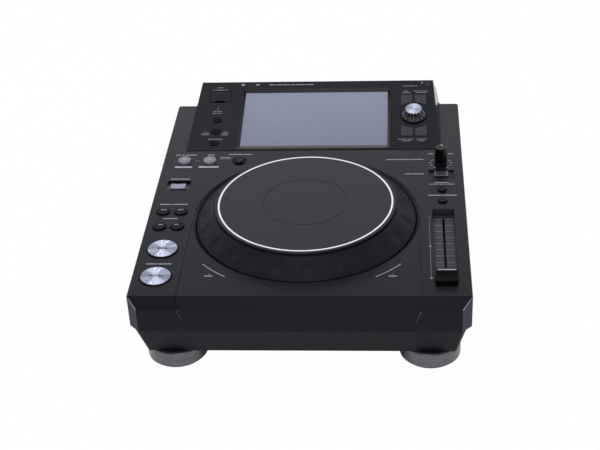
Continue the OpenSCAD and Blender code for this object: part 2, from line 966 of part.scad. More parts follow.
module panel_holes() {
    translate([-frame_half - set_gap, frame_low - set_gap, -lcd_depth - over])
        cube([2 * (frame_half + set_gap), frame_high - frame_low + 2 * set_gap, big]);
    for (key = panel_round_keys)
        translate([key[0][0], key[0][1], -wall - over])
            cylinder(r = key[1] + key_gap, h = big);
    for (p = browse_places)
        difference() {
            translate([p[0], p[1], 0])
                block([browse_w + 2 * key_gap, browse_len + 2 * key_gap, big], -wall - over);
            round_selector(browse_arc - key_gap);
        }
    translate([selector_x, selector_s, -dish_depth])
        cylinder(r = selector_dish_r, h = big);
    translate([selector_x, selector_s, -wall - over])
        cylinder(r = bush_r + set_gap, h = big);
    translate([0, 0, -pocket_depth + pocket_wall])
        pocket(0);
    translate(usb_port_place)
        block([socket_w + 2 * set_gap, socket_d + 2 * set_gap, big], -pocket_depth - over);
    translate([usb_x, flap_s, -hinge_r])
        rotate([0, 90, 0])
            cylinder(r = hinge_pin_r + run_gap, h = flap_w + 2 * (hinge_pin_len + flap_gap), center = true);
}

module screen_housing() {
    color("#303034")
        difference() {
            union() {
                difference() {
                    unit_block(0);
                    unit_block(wall);
                }
                on_panel()
                    translate([0, 0, -pocket_depth])
                        pocket(pocket_wall);
                for (p = concat(usb_posts, selector_posts))
                    on_panel(p)
                        translate([0, 0, board_top])
                            cylinder(r = panel_post_r, h = board_drop + weld);
                for (p = unit_column_places)
                    translate([p[0], p[1], 0])
                        screw_column(tray_top, deck_z + unit_column_rise);
            }
            on_panel()
                panel_holes();
        }
}

// The opening of the frame: four walls slope down to the glass
module bevel_cut() {
    lcd_end = lcd_start + lcd_h;
    low_s = lcd_start - bevel_low;
    high_s = lcd_end + bevel_high;
    intersection() {
        along(big)
            polygon([
                [-lcd_w / 2, -lcd_depth - over], [-lcd_w / 2, -lcd_depth], [-lcd_w / 2 - bevel_side, 0],
                [-lcd_w / 2 - bevel_side, over], [lcd_w / 2 + bevel_side, over], [lcd_w / 2 + bevel_side, 0],
                [lcd_w / 2, -lcd_depth], [lcd_w / 2, -lcd_depth - over]
            ]);
        across(big)
            polygon([
                [lcd_start, -lcd_depth - over], [lcd_start, -lcd_depth], [low_s, 0], [low_s, over],
                [high_s, over], [high_s, 0], [lcd_end, -lcd_depth], [lcd_end, -lcd_depth - over]
            ]);
    }
}

module screen_frame() {
    color(dark)
        on_panel()
            difference() {
                translate([-frame_half, frame_low, -lcd_depth])
                    cube([2 * frame_half, frame_high - frame_low, lcd_depth]);
                bevel_cut();
            }
}

module touch_screen() {
    color("#85889b")
        on_panel()
            translate([-frame_half, frame_low + frame_land, -lcd_depth - screen_t])
                cube([2 * frame_half, frame_high - frame_low - frame_land, screen_t]);
}

// Keys

module key_body(r, rise, edge) {
    rotate_extrude()
        polygon([
            [0, key_foot], [post_r, key_foot], [post_r, flange_low], [r + flange_lip, flange_low],
            [r + flange_lip, flange_top], [r, flange_top], [r, rise - edge],
            [r - edge * soft_edge, rise - edge * soft_edge], [r - edge, rise], [0, rise]
        ]);
}

// A rectangular key; its flange catches on two sides only
module square_key(w, d, rise) {
    block([w, d, rise - flange_top], flange_top);
    block([w, d + 2 * flange_lip, flange_t], flange_low);
    translate([0, 0, key_foot])
        cylinder(r = post_r, h = flange_low - key_foot + weld);
}

module transport_key() {
    difference() {
        key_body(transport_key_r, transport_rise, transport_edge);
        translate([0, 0, transport_rise - metal_cap_t])
            cylinder(r = cap_disc_r + set_gap, h = metal_cap_t + over);
    }
}

module metal_cap() {
    low = transport_rise - metal_cap_t;
    top = transport_rise + metal_cap_rise;
    rotate_extrude()
        polygon([
            [0, low], [cap_disc_r, low], [cap_disc_r, top - metal_cap_edge],
            [cap_disc_r - metal_cap_edge, top], [0, top]
        ]);
}

module cue_button() {
    color(dark)
        on_deck(cue_place)
            transport_key();
}

module cue_cap() {
    color(metal)
        on_deck(cue_place)
            metal_cap();
}

module play_button() {
    color(dark)
        on_deck(play_place)
            transport_key();
}

module play_cap() {
    color(metal)
        on_deck(play_place)
            metal_cap();
}

module search_key(place) {
    color(dark)
        on_deck(place)
            key_body(pair_r, search_rise, search_edge);
}

module loop_key(place) {
    color("#8c8c92")
        on_deck(place)
            key_body(loop_key_r, loop_rise, loop_edge);
}

module small_key(place) {
    color(dark)
        on_deck(place)
            key_body(small_key_r, small_rise, small_edge);
}

module panel_key(place) {
    color(dark)
        on_panel(place)
            key_body(small_r, panel_key_rise, small_edge);
}

module browse_key(place) {
    color("#48484e")
        on_panel()
            difference() {
                translate(place)
                    square_key(browse_w, browse_len, browse_rise);
                round_selector(browse_arc);
            }
}

module jog_mode_button() {
    color("#55555c")
        on_deck(mode_place)
            square_key(mode_w, mode_d, mode_rise);
}

module track_back_button() {
    search_key(track_places[0]);
}

module track_next_button() {
    search_key(track_places[1]);
}

module search_back_button() {
    search_key(search_places[0]);
}

module search_next_button() {
    search_key(search_places[1]);
}

module loop_in_button() {
    loop_key(loop_in_place);
}

module loop_out_button() {
    loop_key(loop_out_place);
}

module loop_exit_button() {
    small_key(loop_exit_place);
}

module tempo_range_button() {
    small_key(range_place);
}

module master_tempo_button() {
    small_key(master_place);
}

module usb_stop_button() {
    panel_key(stop_place);
}

module time_mode_button() {
    panel_key(time_place);
}

module quantize_button() {
    panel_key(quantize_place);
}

module browse_key_1() {
    browse_key(browse_places[0]);
}

module browse_key_2() {
    browse_key(browse_places[1]);
}

module browse_key_3() {
    browse_key(browse_places[2]);
}

module browse_key_4() {
    browse_key(browse_places[3]);
}

// Boards and switches

module board_slab(low, high) {
    translate([low[0], low[1], board_top - board_t])
        cube([high[0] - low[0], high[1] - low[1], board_t]);
}

module panel_board(x) {
    board_slab([x - panel_board_w / 2, panel_board_start], [x + panel_board_w / 2, panel_board_end]);
}

module key_boards() {
    half = 16.7 * column_fit;
    margin = 16;
    end_margin = 12;
    side_margin = 8;
    right_end = speed_y + speed_post_dy + side_margin;
    loop_end = loop_exit_place[0] + end_margin;
    color(board) {
        translate([0, 0, deck_z])
            union() {
                board_slab([left_x - half, play_y - margin], [left_x + half, loop_y + margin]);
                board_slab([left_x - half, loop_y - side_margin], [loop_end, loop_y + margin]);
            }
        translate([0, 0, deck_z])
            board_slab([right_x - half, master_y - side_margin], [right_x + half, right_end]);
        on_panel()
            difference() {
                panel_board(usb_x);
                translate(usb_port_place)
                    block([socket_w + 2 * set_gap, socket_d + 2 * set_gap, big], -big);
            }
        on_panel()
            panel_board(selector_x);
    }
}

module key_switch() {
    block([switch_side, switch_side, switch_h], board_top);
}

module key_switches() {
    color("#1c1c1e") {
        for (key = deck_round_keys)
            on_deck(key[0])
                key_switch();
        on_deck(mode_place)
            key_switch();
        for (key = panel_round_keys)
            on_panel(key[0])
                key_switch();
        for (p = browse_places)
            on_panel(p)
                key_switch();
    }
}

// A board over the tray: low x, low y, width, depth
module tray_board(area) {
    translate([area[0], area[1], main_board_z])
        cube([area[2], area[3], board_t]);
}

module main_board() {
    chip = [20, 20, 1.8];
    chip_shares = [[0.25, 0.3], [0.5, 0.55], [0.75, 0.3]];
    color(board) {
        tray_board(main_board_area);
        for (p = chip_shares)
            translate([
                main_board_area[0] + p[0] * main_board_area[2],
                main_board_area[1] + p[1] * main_board_area[3], 0
            ])
                block(chip, main_board_top);
    }
}

module power_board() {
    transformer = [32, 28, 14];
    capacitor_r = 6;
    capacitor_h = 13;
    capacitor_step = 18;
    button_switch = [12, 18];
    mid_y = power_board_area[1] + power_board_area[3] / 2;
    color("#6b5a34") {
        tray_board(power_board_area);
        translate([power_board_area[0] + transformer[0], mid_y, 0])
            block(transformer, main_board_top);
        for (side = [-1, 1])
            translate([power_x, mid_y + side * capacitor_step / 2, main_board_top])
                cylinder(r = capacitor_r, h = capacitor_h);
        translate([power_x - button_switch[0] / 2, power_switch_y - button_switch[1], main_board_top])
            cube([button_switch[0], button_switch[1], rear_mid_z - main_board_top + power_r]);
    }
}

// Jog wheel

// One dimple: a ball that dips into the slope
module dimple_cut() {
    out = dimple_r - dimple_depth;
    x = (skirt_top_r + skirt_r) / 2 + out * sin(slope_angle);
    z = (skirt_top_z + skirt_foot_z) / 2 + out * cos(slope_angle);
    translate([x, 0, z])
        sphere(r = dimple_r);
}

module jog_skirt() {
    under_r = skirt_r - skirt_wall;
    under_top_r = skirt_top_r + (skirt_top_z - web_low) * slope_run / slope_fall - skirt_wall;
    color("#232326")
        on_jog()
            difference() {
                rotate_extrude()
                    polygon([
                        [hub_spigot_r + set_gap, web_low], [under_top_r, web_low], [under_r, skirt_foot_z],
                        [under_r, skirt_low_z], [skirt_r, skirt_low_z], [skirt_r, skirt_foot_z],
                        [skirt_top_r, skirt_top_z], [rim_r, skirt_top_z], [rim_r, web_top],
                        [hub_spigot_r + set_gap, web_top]
                    ]);
                for (i = [0 : dimple_count - 1])
                    rotate([0, 0, dimple_turn + i * 360 / dimple_count])
                        dimple_cut();
                for (i = [0 : guide_count - 1])
                    rotate([0, 0, i * 360 / guide_count])
                        translate([guide_ring_r, 0, web_low - over])
                            cylinder(r = guide_r + run_gap, h = web_t + 2 * over);
            }
}

module jog_plate() {
    color("#414046")
        on_jog()
            difference() {
                union() {
                    rotate_extrude()
                        polygon([
                            [0, plate_low], [plate_r, plate_low], [plate_r, plate_top - plate_edge],
                            [plate_r - plate_edge, plate_top], [0, plate_top]
                        ]);
                    for (i = [0 : guide_count - 1])
                        rotate([0, 0, i * 360 / guide_count])
                            translate([guide_ring_r, 0, web_low - over])
                                cylinder(r = guide_r, h = plate_low - web_low + over + weld);
                }
                band(ring_r, ring_w + 2 * set_gap, plate_top - ring_sink, over);
                band(centre_line_r, centre_line_w, plate_top - centre_line_d, over);
            }
}

// A flat ring of middle radius r and width w
module band(r, w, low, rise) {
    translate([0, 0, low])
        linear_extrude(plate_top + rise - low)
            difference() {
                circle(r + w / 2);
                circle(r - w / 2);
            }
}

module jog_ring() {
    color("white")
        on_jog()
            band(ring_r, ring_w, plate_top - ring_sink, ring_rise);
}

module jog_shaft() {
    color(metal)
        on_jog()
            rotate_extrude()
                polygon([
                    [0, base_floor_low - shaft_stub], [shaft_r, base_floor_low - shaft_stub],
                    [shaft_r, web_low - hub_t], [hub_r, web_low - hub_t], [hub_r, web_low],
                    [hub_spigot_r, web_low],
                    [hub_spigot_r, web_top], [0, web_top]
                ]);
}

module jog_code_disc() {
    color("#c9c9d0")
        on_jog()
            difference() {
                translate([0, 0, web_low - hub_t - disc_t])
                    cylinder(r = disc_r, h = disc_t);
                cylinder(r = shaft_r + set_gap, h = big);
                for (i = [0 : code_slots - 1])
                    rotate([0, 0, i * 360 / code_slots])
                        translate([disc_r - code_margin - code_slot[0], -code_slot[1] / 2, 0])
                            cube([code_slot[0], code_slot[1], big]);
            }
}

module jog_bearing() {
    color("#a08a4a")
        on_jog()
            rotate_extrude()
                polygon([
                    [shaft_r + run_gap, base_floor_low], [bearing_r, base_floor_low],
                    [bearing_r, bearing_top - bearing_lip],
                    [bearing_r + bearing_lip, bearing_top - bearing_lip],
                    [bearing_r + bearing_lip, bearing_top], [shaft_r + run_gap, bearing_top]
                ]);
}

module jog_base() {
    color(dark)
        difference() {
            on_jog()
                rotate_extrude()
                    polygon([
                        [bearing_r + run_gap, base_floor_low], [base_out_r, base_floor_low],
                        [base_out_r, deck_low - base_flange_t], [base_flange_r, deck_low - base_flange_t],
                        [base_flange_r, deck_low], [base_in_r, deck_low], [base_in_r, base_floor_top],
                        [bearing_r + boss_wall, base_floor_top],
                        [bearing_r + boss_wall, bearing_top - bearing_lip],
                        [bearing_r + run_gap, bearing_top - bearing_lip]
                    ]);
            unit_bay(wall + set_gap);
        }
}

module jog_sensor() {
    disc_low = web_low - hub_t - disc_t;
    sensor_h = web_low - sensor_gap - base_floor_top;
    color("#1c1c1e")
        on_jog()
            translate([0, -(disc_r + code_margin), 0])
                difference() {
                    block([sensor_size[0], sensor_size[1], sensor_h], base_floor_top);
                    translate([-sensor_size[0], sensor_back - sensor_size[1] / 2, disc_low - sensor_gap])
                        cube([2 * sensor_size[0], sensor_size[1], disc_t + 2 * sensor_gap]);
                }
}

// Direction lever

stem_w = 5;
stem_d = 3;
stem_seat = 4;
switch_lap = 1.5;
lever_rise = 1.5;
lever_edge = 0.4;
finger_r = 24;
finger_depth = 0.7;
lever_front = lever_back - lever_slot_d;
lever_mid = (lever_back + lever_front) / 2;
// The pan under the deck that holds the recess
pan_t = 2.5;
pan_side = 1.5;
pan_low = -wall - pan_t;
switch_body_h = pan_low - board_top;

// Level of the sloping floor of the recess
function recess_floor(y) = -(y - lever_front) * lever_recess / lever_slot_d;

// Room for the lever's stem and its travel
module stem_slot(low) {
    block([stem_w + 2 * (lever_travel + key_gap), stem_d + 2 * key_gap, big], low);
}

module direction_switch() {
    color("#1c1c1e")
        on_deck([left_x, lever_y])
            difference() {
                translate([0, lever_mid, 0])
                    block([slot_w + 2 * switch_lap, lever_slot_d + 2 * switch_lap, switch_body_h], board_top);
                stem_slot(board_top + stem_seat);
            }
}

module direction_lever() {
    half = lever_d / 2;
    stem_low = board_top + stem_seat + seat_gap;
    stem_top = recess_floor(-stem_d / 2) + seat_gap + weld;
    color("#a9a9b4")
        on_deck([left_x, lever_y]) {
            difference() {
                across(lever_cap_w)
                    polygon([
                        [-half, recess_floor(-half) + seat_gap], [-half, lever_rise - lever_edge],
                        [-half + lever_edge, lever_rise], [half - lever_edge, lever_rise],
                        [half, lever_rise - lever_edge], [half, recess_floor(half) + seat_gap]
                    ]);
                translate([0, 0, lever_rise - finger_depth + finger_r])
                    rotate([90, 0, 0])
                        cylinder(r = finger_r, h = 2 * lever_d, center = true);
            }
            block([stem_w, stem_d, stem_top - stem_low], stem_low);
        }
}

// Speed knob

speed_shaft_r = 2;
speed_lift = 0.5;
speed_collar = 0.3;
speed_collar_h = 1.2;
speed_taper = 0.2;
speed_edge = 0.4;
speed_flutes = 14;
speed_flute_r = 0.8;
speed_flute_low = 4.5;
speed_flute_top = 2.5;
pot_size = [11, 12, 8];
bush_sink = 0.6;

module speed_pot() {
    color("#1c1c1e")
        on_deck([right_x, speed_y])
            difference() {
                union() {
                    block(pot_size, board_top);
                    translate([0, 0, board_top])
                        cylinder(r = speed_bush_r, h = -bush_sink - board_top);
                }
                translate([0, 0, board_top + bush_floor])
                    cylinder(r = speed_shaft_r + run_gap, h = big);
            }
}

module speed_knob() {
    shaft_low = board_top + bush_floor + over;
    color(dark)
        on_deck([right_x, speed_y])
            difference() {
                rotate_extrude()
                    polygon([
                        [0, shaft_low], [speed_shaft_r, shaft_low], [speed_shaft_r, speed_lift],
                        [speed_r + speed_collar, speed_lift], [speed_r + speed_collar, speed_collar_h],
                        [speed_r, speed_collar_h + 2 * speed_collar],
                        [speed_r - speed_taper, speed_rise - speed_edge],
                        [speed_r - speed_taper - speed_edge, speed_rise], [0, speed_rise]
                    ]);
                for (i = [0 : speed_flutes - 1])
                    rotate([0, 0, i * 360 / speed_flutes])
                        translate([speed_r + speed_flute_r / 2, 0, speed_flute_low])
                            cylinder(r = speed_flute_r, h = speed_rise - speed_flute_top - speed_flute_low);
            }
}

// Tempo fader

module fader_plate() {
    color("#5a5a62")
        on_deck([right_x, fader_y])
            difference() {
                block([recess_w + 2 * fader_rim, fader_len + 2 * fader_rim, fader_plate_t],
                    -fader_depth - fader_plate_t);
                block([fader_slot_w, fader_slot_len, big], -big / 2);
            }
}

module fader_unit() {
    low = fader_body_top - fader_body_h;
    color("#8f9098")
        translate([right_x, fader_y, 0])
            difference() {
                union() {
                    block([fader_body_w, fader_len, fader_body_h], low);
                    for (side = [-1, 1])
                        translate([0, side * (fader_len - fader_tab) / 2, 0])
                            block([fader_body_w, fader_tab, fader_plate_low - low], low);
                }
                block([fader_slot_w, fader_slot_len, big], low + fader_body_floor);
            }
}

module fader_lever() {
    low = fader_body_top - fader_body_h + fader_body_floor + seat_gap;
    color(metal)
        translate([right_x, fader_rest_y, 0])
            block([blade_t, blade_len, blade_top - low], low);
}

module fader_cap() {
    low = fader_floor + cap_lift;
    ridge = deck_z + cap_rise;
    shoulder = ridge - cap_ridge_h;
    half = cap_len / 2;
    color(dark)
        translate([right_x, fader_rest_y, 0])
            difference() {
                across(fader_cap_w)
                    polygon([
                        [-half, low], [-half, shoulder - cap_edge], [-half + cap_edge, shoulder],
                        [-half / 2, shoulder + cap_swell], [-cap_ridge_w / 2, ridge],
                        [cap_ridge_w / 2, ridge],
                        [half / 2, shoulder + cap_swell], [half - cap_edge, shoulder],
                        [half, shoulder - cap_edge],
                        [half, low]
                    ]);
                block([blade_t + 2 * run_gap, blade_len + 2 * run_gap, blade_top - low + over + run_gap],
                    low - over);
            }
}

// Selector

module selector_encoder() {
    color("#8f9098")
        on_panel([selector_x, selector_s])
            difference() {
                union() {
                    block([encoder_side, encoder_side, encoder_h], board_top);
                    translate([0, 0, board_top])
                        cylinder(r = bush_r, h = board_drop + wall - dish_depth);
                }
                translate([0, 0, board_top + bush_floor])
                    cylinder(r = selector_shaft_r + run_gap, h = big);
            }
}

module selector_shaft() {
    color(metal)
        on_panel([selector_x, selector_s])
            translate([0, 0, board_top + bush_floor + seat_gap])
                cylinder(r = selector_shaft_r, h = selector_bore - board_top - bush_floor - seat_gap);
}

module selector_flutes() {
    for (i = [0 : selector_flutes - 1])
        rotate([0, 0, i * 360 / selector_flutes])
            translate([grip_r + flute_out, 0, flute_low])
                cylinder(r = flute_r, h = selector_h);
}

module selector_knob() {
    low = -dish_depth + push_travel + selector_lift;
    bore_top = selector_bore + push_travel + seat_gap;
    color(dark)
        on_panel([selector_x, selector_s])
            difference() {
                rotate_extrude()
                    polygon(concat(
                        [[selector_shaft_r + run_gap, low], [selector_r, low],
                        [selector_r, foot_top - foot_edge]],
                        [for (a = [90 : -flare_step : 0])
                            [grip_r + flare * (1 - cos(a)), foot_top + flare * (1 - sin(a))]],
                        [[grip_top_r, selector_h - selector_cap_t], [0, selector_h - selector_cap_t]],
                        [[0, bore_top], [selector_shaft_r + run_gap, bore_top]]
                    ));
                selector_flutes();
            }
}

module selector_cap() {
    color(metal)
        on_panel([selector_x, selector_s])
            difference() {
                rotate_extrude()
                    polygon([
                        [0, selector_h - selector_cap_t], [grip_top_r, selector_h - selector_cap_t],
                        [grip_top_r, selector_h - selector_cap_edge],
                        [grip_top_r - selector_cap_edge, selector_h],
                        [0, selector_h]
                    ]);
                selector_flutes();
            }
}

// Usb port and its flap

module usb_port() {
    color(metal)
        on_panel(usb_port_place)
            difference() {
                union() {
                    block([socket_w, socket_d, socket_len], socket_top - socket_len);
                    block([socket_w + 2 * socket_lip, socket_d + 2 * socket_lip, socket_lip_t], board_top);
                }
                block([mouth_w, mouth_d, big], socket_top - mouth_depth);
            }
}

module usb_flap() {
    notch_r = 12.3;
    notch_d = 3.4;
    color("#333338")
        on_panel([usb_x, flap_s])
            difference() {
                union() {
                    translate([-flap_w / 2, -flap_len, -flap_t])
                        cube([flap_w, flap_len, flap_t]);
                    translate([0, 0, -hinge_r])
                        rotate([0, 90, 0])
                            cylinder(r = hinge_r, h = flap_w, center = true);
                    translate([0, 0, -hinge_r])
                        rotate([0, 90, 0])
                            cylinder(r = hinge_pin_r, h = flap_w + 2 * hinge_pin_len, center = true);
                }
                translate([0, -flap_len - notch_r + notch_d, -flap_t - over])
                    cylinder(r = notch_r, h = flap_t + 2 * over);
            }
}

// Rear

module rear_holes(gap) {
    translate([lan_x - lan_w / 2 - gap, 0, main_board_top - gap])
        cube([lan_w + 2 * gap, big, lan_h + 2 * gap]);
    translate([device_x - device_w / 2 - gap, 0, main_board_top - gap])
        cube([device_w + 2 * gap, big, device_h + 2 * gap]);
    translate([inlet_x - inlet_w / 2 - gap, 0, rear_mid_z - inlet_h / 2 - gap])
        cube([inlet_w + 2 * gap, big, inlet_h + 2 * gap]);
    for (i = [0, 1])
        translate([audio_x + i * audio_step, 0, rear_mid_z])
            rotate([-90, 0, 0])
                cylinder(r = audio_r + gap, h = big);
    translate([power_x, 0, rear_mid_z])
        rotate([-90, 0, 0])
            cylinder(r = power_r + key_gap, h = big);
}

module rear_panel() {
    color("#9a9aa0")
        difference() {
            translate([-rear_plate_half, rear_wall_y, rear_window_low - rear_lap])
                cube([2 * rear_plate_half, rear_plate_t, rear_window_high - rear_window_low + 2 * rear_lap]);
            rear_holes(set_gap);
        }
}

rear_face = rear_wall_y + rear_plate_t + socket_out;

module lan_socket() {
    color(metal)
        difference() {
            translate([lan_x - lan_w / 2, rear_face - lan_len, main_board_top])
                cube([lan_w, lan_len, lan_h]);
            translate([lan_x - lan_mouth_w / 2, rear_face - lan_depth, main_board_top + lan_mouth_low])
                cube([lan_mouth_w, lan_depth + over, lan_mouth_h]);
        }
}

module usb_device_socket() {
    device_low = main_board_top + device_mouth_low;
    color(metal)
        difference() {
            translate([device_x - device_w / 2, rear_face - device_len, main_board_top])
                cube([device_w, device_len, device_h]);
            translate([device_x - device_mouth_w / 2, rear_face - device_depth, device_low])
                cube([device_mouth_w, device_depth + over, device_mouth_h]);
        }
}

module audio_sockets() {
    color("#c9c9d0")
        for (i = [0, 1])
            translate([audio_x + i * audio_step, rear_wall_y, 0]) {
                translate([-audio_body / 2, -tray_t - audio_body, main_board_top])
                    cube([audio_body, audio_body, rear_mid_z + audio_body / 2 - main_board_top]);
                translate([0, -tray_t - weld, rear_mid_z])
                    rotate([-90, 0, 0])
                        difference() {
                            cylinder(r = audio_r, h = audio_out + tray_t + weld);
                            translate([0, 0, audio_bore_floor])
                                cylinder(r = audio_bore_r, h = big);
                        }
            }
}

module power_inlet() {
    pin = [2, inlet_depth - inlet_pin_sink + weld, 4];
    color("#1c1c1e") {
        difference() {
            translate([inlet_x - inlet_w / 2, rear_face - inlet_len, rear_mid_z - inlet_h / 2])
                cube([inlet_w, inlet_len, inlet_h]);
            translate([inlet_x - inlet_mouth_w / 2, rear_face - inlet_depth, rear_mid_z - inlet_mouth_h / 2])
                cube([inlet_mouth_w, inlet_depth + over, inlet_mouth_h]);
        }
        for (i = [-1 : 1])
            translate([inlet_x + i * inlet_pin_step - pin[0] / 2, rear_face - inlet_depth - weld,
                rear_mid_z - (i == 0 ? 0 : pin[2])])
                cube(pin);
    }
}

module power_button() {
    color(dark)
        translate([power_x, rear_wall_y, rear_mid_z])
            rotate([-90, 0, 0])
                rotate_extrude()
                    polygon([
                        [0, -power_stem_len], [power_stem_r, -power_stem_len],
                        [power_stem_r, -seat_gap - flange_t], [power_r + flange_lip, -seat_gap - flange_t],
                        [power_r + flange_lip, -seat_gap], [power_r, -seat_gap],
                        [power_r, power_rise - power_edge], [power_r - power_edge, power_rise],
                        [0, power_rise]
                    ]);
}

top_case();
bottom_case();
feet();
case_screws();
screen_housing();
screen_frame();
touch_screen();
rear_panel();
lan_socket();
usb_device_socket();
audio_sockets();
power_inlet();
usb_port();
main_board();
power_board();
key_boards();
key_switches();
jog_base();
jog_bearing();
jog_sensor();
fader_plate();
fader_unit();
speed_pot();
selector_encoder();
direction_switch();
jog_skirt();
jog_shaft();
jog_code_disc();
jog_plate();
jog_ring();
cue_button();
cue_cap();
play_button();
play_cap();
track_back_button();
track_next_button();
search_back_button();
search_next_button();
loop_in_button();
loop_out_button();
loop_exit_button();
direction_lever();
jog_mode_button();
tempo_range_button();
master_tempo_button();
speed_knob();
fader_lever();
fader_cap();
selector_shaft();
selector_knob();
selector_cap();
usb_flap();
usb_stop_button();
time_mode_button();
quantize_button();
browse_key_1();
browse_key_2();
browse_key_3();
browse_key_4();
power_button();
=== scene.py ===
import json
from math import atan2, cos, pi, radians, sin

import bpy
from mathutils import Matrix, Vector


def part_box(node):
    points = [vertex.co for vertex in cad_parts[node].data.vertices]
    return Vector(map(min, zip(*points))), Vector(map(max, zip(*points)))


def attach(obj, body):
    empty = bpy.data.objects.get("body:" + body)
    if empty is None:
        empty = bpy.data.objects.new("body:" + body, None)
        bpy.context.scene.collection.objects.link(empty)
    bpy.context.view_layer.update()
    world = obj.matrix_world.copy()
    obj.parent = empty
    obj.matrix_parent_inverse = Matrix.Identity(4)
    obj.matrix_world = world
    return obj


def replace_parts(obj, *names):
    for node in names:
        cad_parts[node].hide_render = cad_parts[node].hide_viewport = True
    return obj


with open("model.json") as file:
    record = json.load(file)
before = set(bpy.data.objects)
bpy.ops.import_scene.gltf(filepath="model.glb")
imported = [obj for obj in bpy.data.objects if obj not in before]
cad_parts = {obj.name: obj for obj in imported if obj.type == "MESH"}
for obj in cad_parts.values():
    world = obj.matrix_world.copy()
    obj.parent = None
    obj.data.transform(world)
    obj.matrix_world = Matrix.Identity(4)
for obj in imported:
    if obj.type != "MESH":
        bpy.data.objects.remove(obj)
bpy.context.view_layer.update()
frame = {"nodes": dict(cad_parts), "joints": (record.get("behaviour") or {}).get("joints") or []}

MM = 0.001

# Prints: their thickness, how far they sink in, and the rounding of their corners
PRINT_T = 0.06 * MM
PRINT_SINK = 0.01 * MM
MARK_ROUND = 0.35 * MM

# Labels, in millimetres
LABEL_H = 1.4
PANEL_LABEL_H = 1.25
WORD_GAP = 0.8


# Places, read from the frame

def middle(*nodes):
    """The middle of some CAD nodes' boxes, in metres."""
    corners = [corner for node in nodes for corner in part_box(node)]
    return sum(corners, Vector()) / len(corners)


def joint_axis(name):
    return Vector(next(j["axis"] for j in frame["joints"] if j["name"] == name))


DECK_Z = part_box("top_case")[1].z
# The panel's front edge stands this far over the deck
PANEL_STEP = 0.45 * MM
PANEL_NORMAL = -joint_axis("usb_stop_press").normalized()
PANEL_TILT = atan2(-PANEL_NORMAL.y, PANEL_NORMAL.z)
PANEL_FRONT = Vector((0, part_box("screen_housing")[0].y, DECK_Z + PANEL_STEP))
ON_DECK = Matrix.Translation((0, 0, DECK_Z))
ON_PANEL = Matrix.Translation(PANEL_FRONT) @ Matrix.Rotation(PANEL_TILT, 4, "X")
JOG = middle("jog_plate")
FOOT_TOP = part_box("feet")[1].z
LOOP_KEYS = ["loop_in_button", "loop_out_button"]


def deck_spot(*nodes):
    """x and y of a node's middle on the deck, in millimetres."""
    return middle(*nodes).xy / MM


def panel_spot(*nodes):
    """x and the way up the slope of a node's middle on the panel, in millimetres."""
    return (ON_PANEL.inverted() @ middle(*nodes)).xy / MM


# Materials

def tone(red, green, blue):
    """A screen colour, 0 to 255, as the linear colour that the shaders take."""
    def linear(level):
        level /= 255
        return level / 12.92 if level <= 0.04045 else ((level + 0.055) / 1.055) ** 2.4
    return (linear(red), linear(green), linear(blue), 1.0)


class Wire:
    """An output of a material's nodes, which adds, multiplies and so on as a number does."""

    def __init__(self, paint, socket):
        self.paint = paint
        self.socket = socket

    def __add__(self, other):
        return self.paint.maths("ADD", self, other)

    __radd__ = __add__

    def __sub__(self, other):
        return self.paint.maths("SUBTRACT", self, other)

    def __rsub__(self, other):
        return self.paint.maths("SUBTRACT", other, self)

    def __mul__(self, other):
        return self.paint.maths("MULTIPLY", self, other)

    __rmul__ = __mul__

    def __gt__(self, other):
        return self.paint.maths("GREATER_THAN", self, other)

    def __lt__(self, other):
        return self.paint.maths("LESS_THAN", self, other)

    def __abs__(self):
        return self.paint.maths("ABSOLUTE", self)


class Nodes:
    """A tree of shader nodes, and the one way in which a node is added to it."""

    def __init__(self, tree):
        self.tree = tree
        tree.nodes.clear()

    def node(self, kind, settings=None, inputs=None, out=0):
        made = self.tree.nodes.new(kind)
        for key, value in (settings or {}).items():
            setattr(made, key, value)
        for key, value in (inputs or {}).items():
            self.feed(made.inputs[key], value)
        return Wire(self, made.outputs[out]) if len(made.outputs) else made

    def feed(self, socket, value):
        if isinstance(value, Wire):
            self.tree.links.new(value.socket, socket)
        else:
            socket.default_value = value

    def maths(self, operation, *terms):
        return self.node("ShaderNodeMath", {"operation": operation}, dict(enumerate(terms)))

    def vector(self, operation, *terms, out=0, **named):
        inputs = {**dict(enumerate(terms)), **named}
        return self.node("ShaderNodeVectorMath", {"operation": operation}, inputs, out)

    def mix(self, share, first, second):
        return self.node("ShaderNodeMix", {"data_type": "RGBA"}, {0: share, 6: first, 7: second}, 2)

    def place(self):
        return self.node("ShaderNodeTexCoord", out="Object")

    def part(self, vector, axis):
        return self.node("ShaderNodeSeparateXYZ", None, {0: vector}, axis)

    def noise(self, vector, scale, detail=2.0, roughness=0.5):
        inputs = {"Vector": vector, "Scale": scale, "Detail": detail, "Roughness": roughness}
        return self.node("ShaderNodeTexNoise", {"noise_dimensions": "3D"}, inputs)

    def stretch(self, vector, x, y, z):
        return self.vector("MULTIPLY", vector, (x, y, z))

    def span(self, value, low, high, start=0.0, end=1.0):
        """A share of the way from low to high, held at both ends."""
        inputs = {0: value, 1: low, 2: high, 3: start, 4: end}
        return self.node("ShaderNodeMapRange", {"clamp": True}, inputs)

    def bump(self, height, strength, distance):
        inputs = {"Strength": strength, "Distance": distance, "Height": height}
        return self.node("ShaderNodeBump", None, inputs)


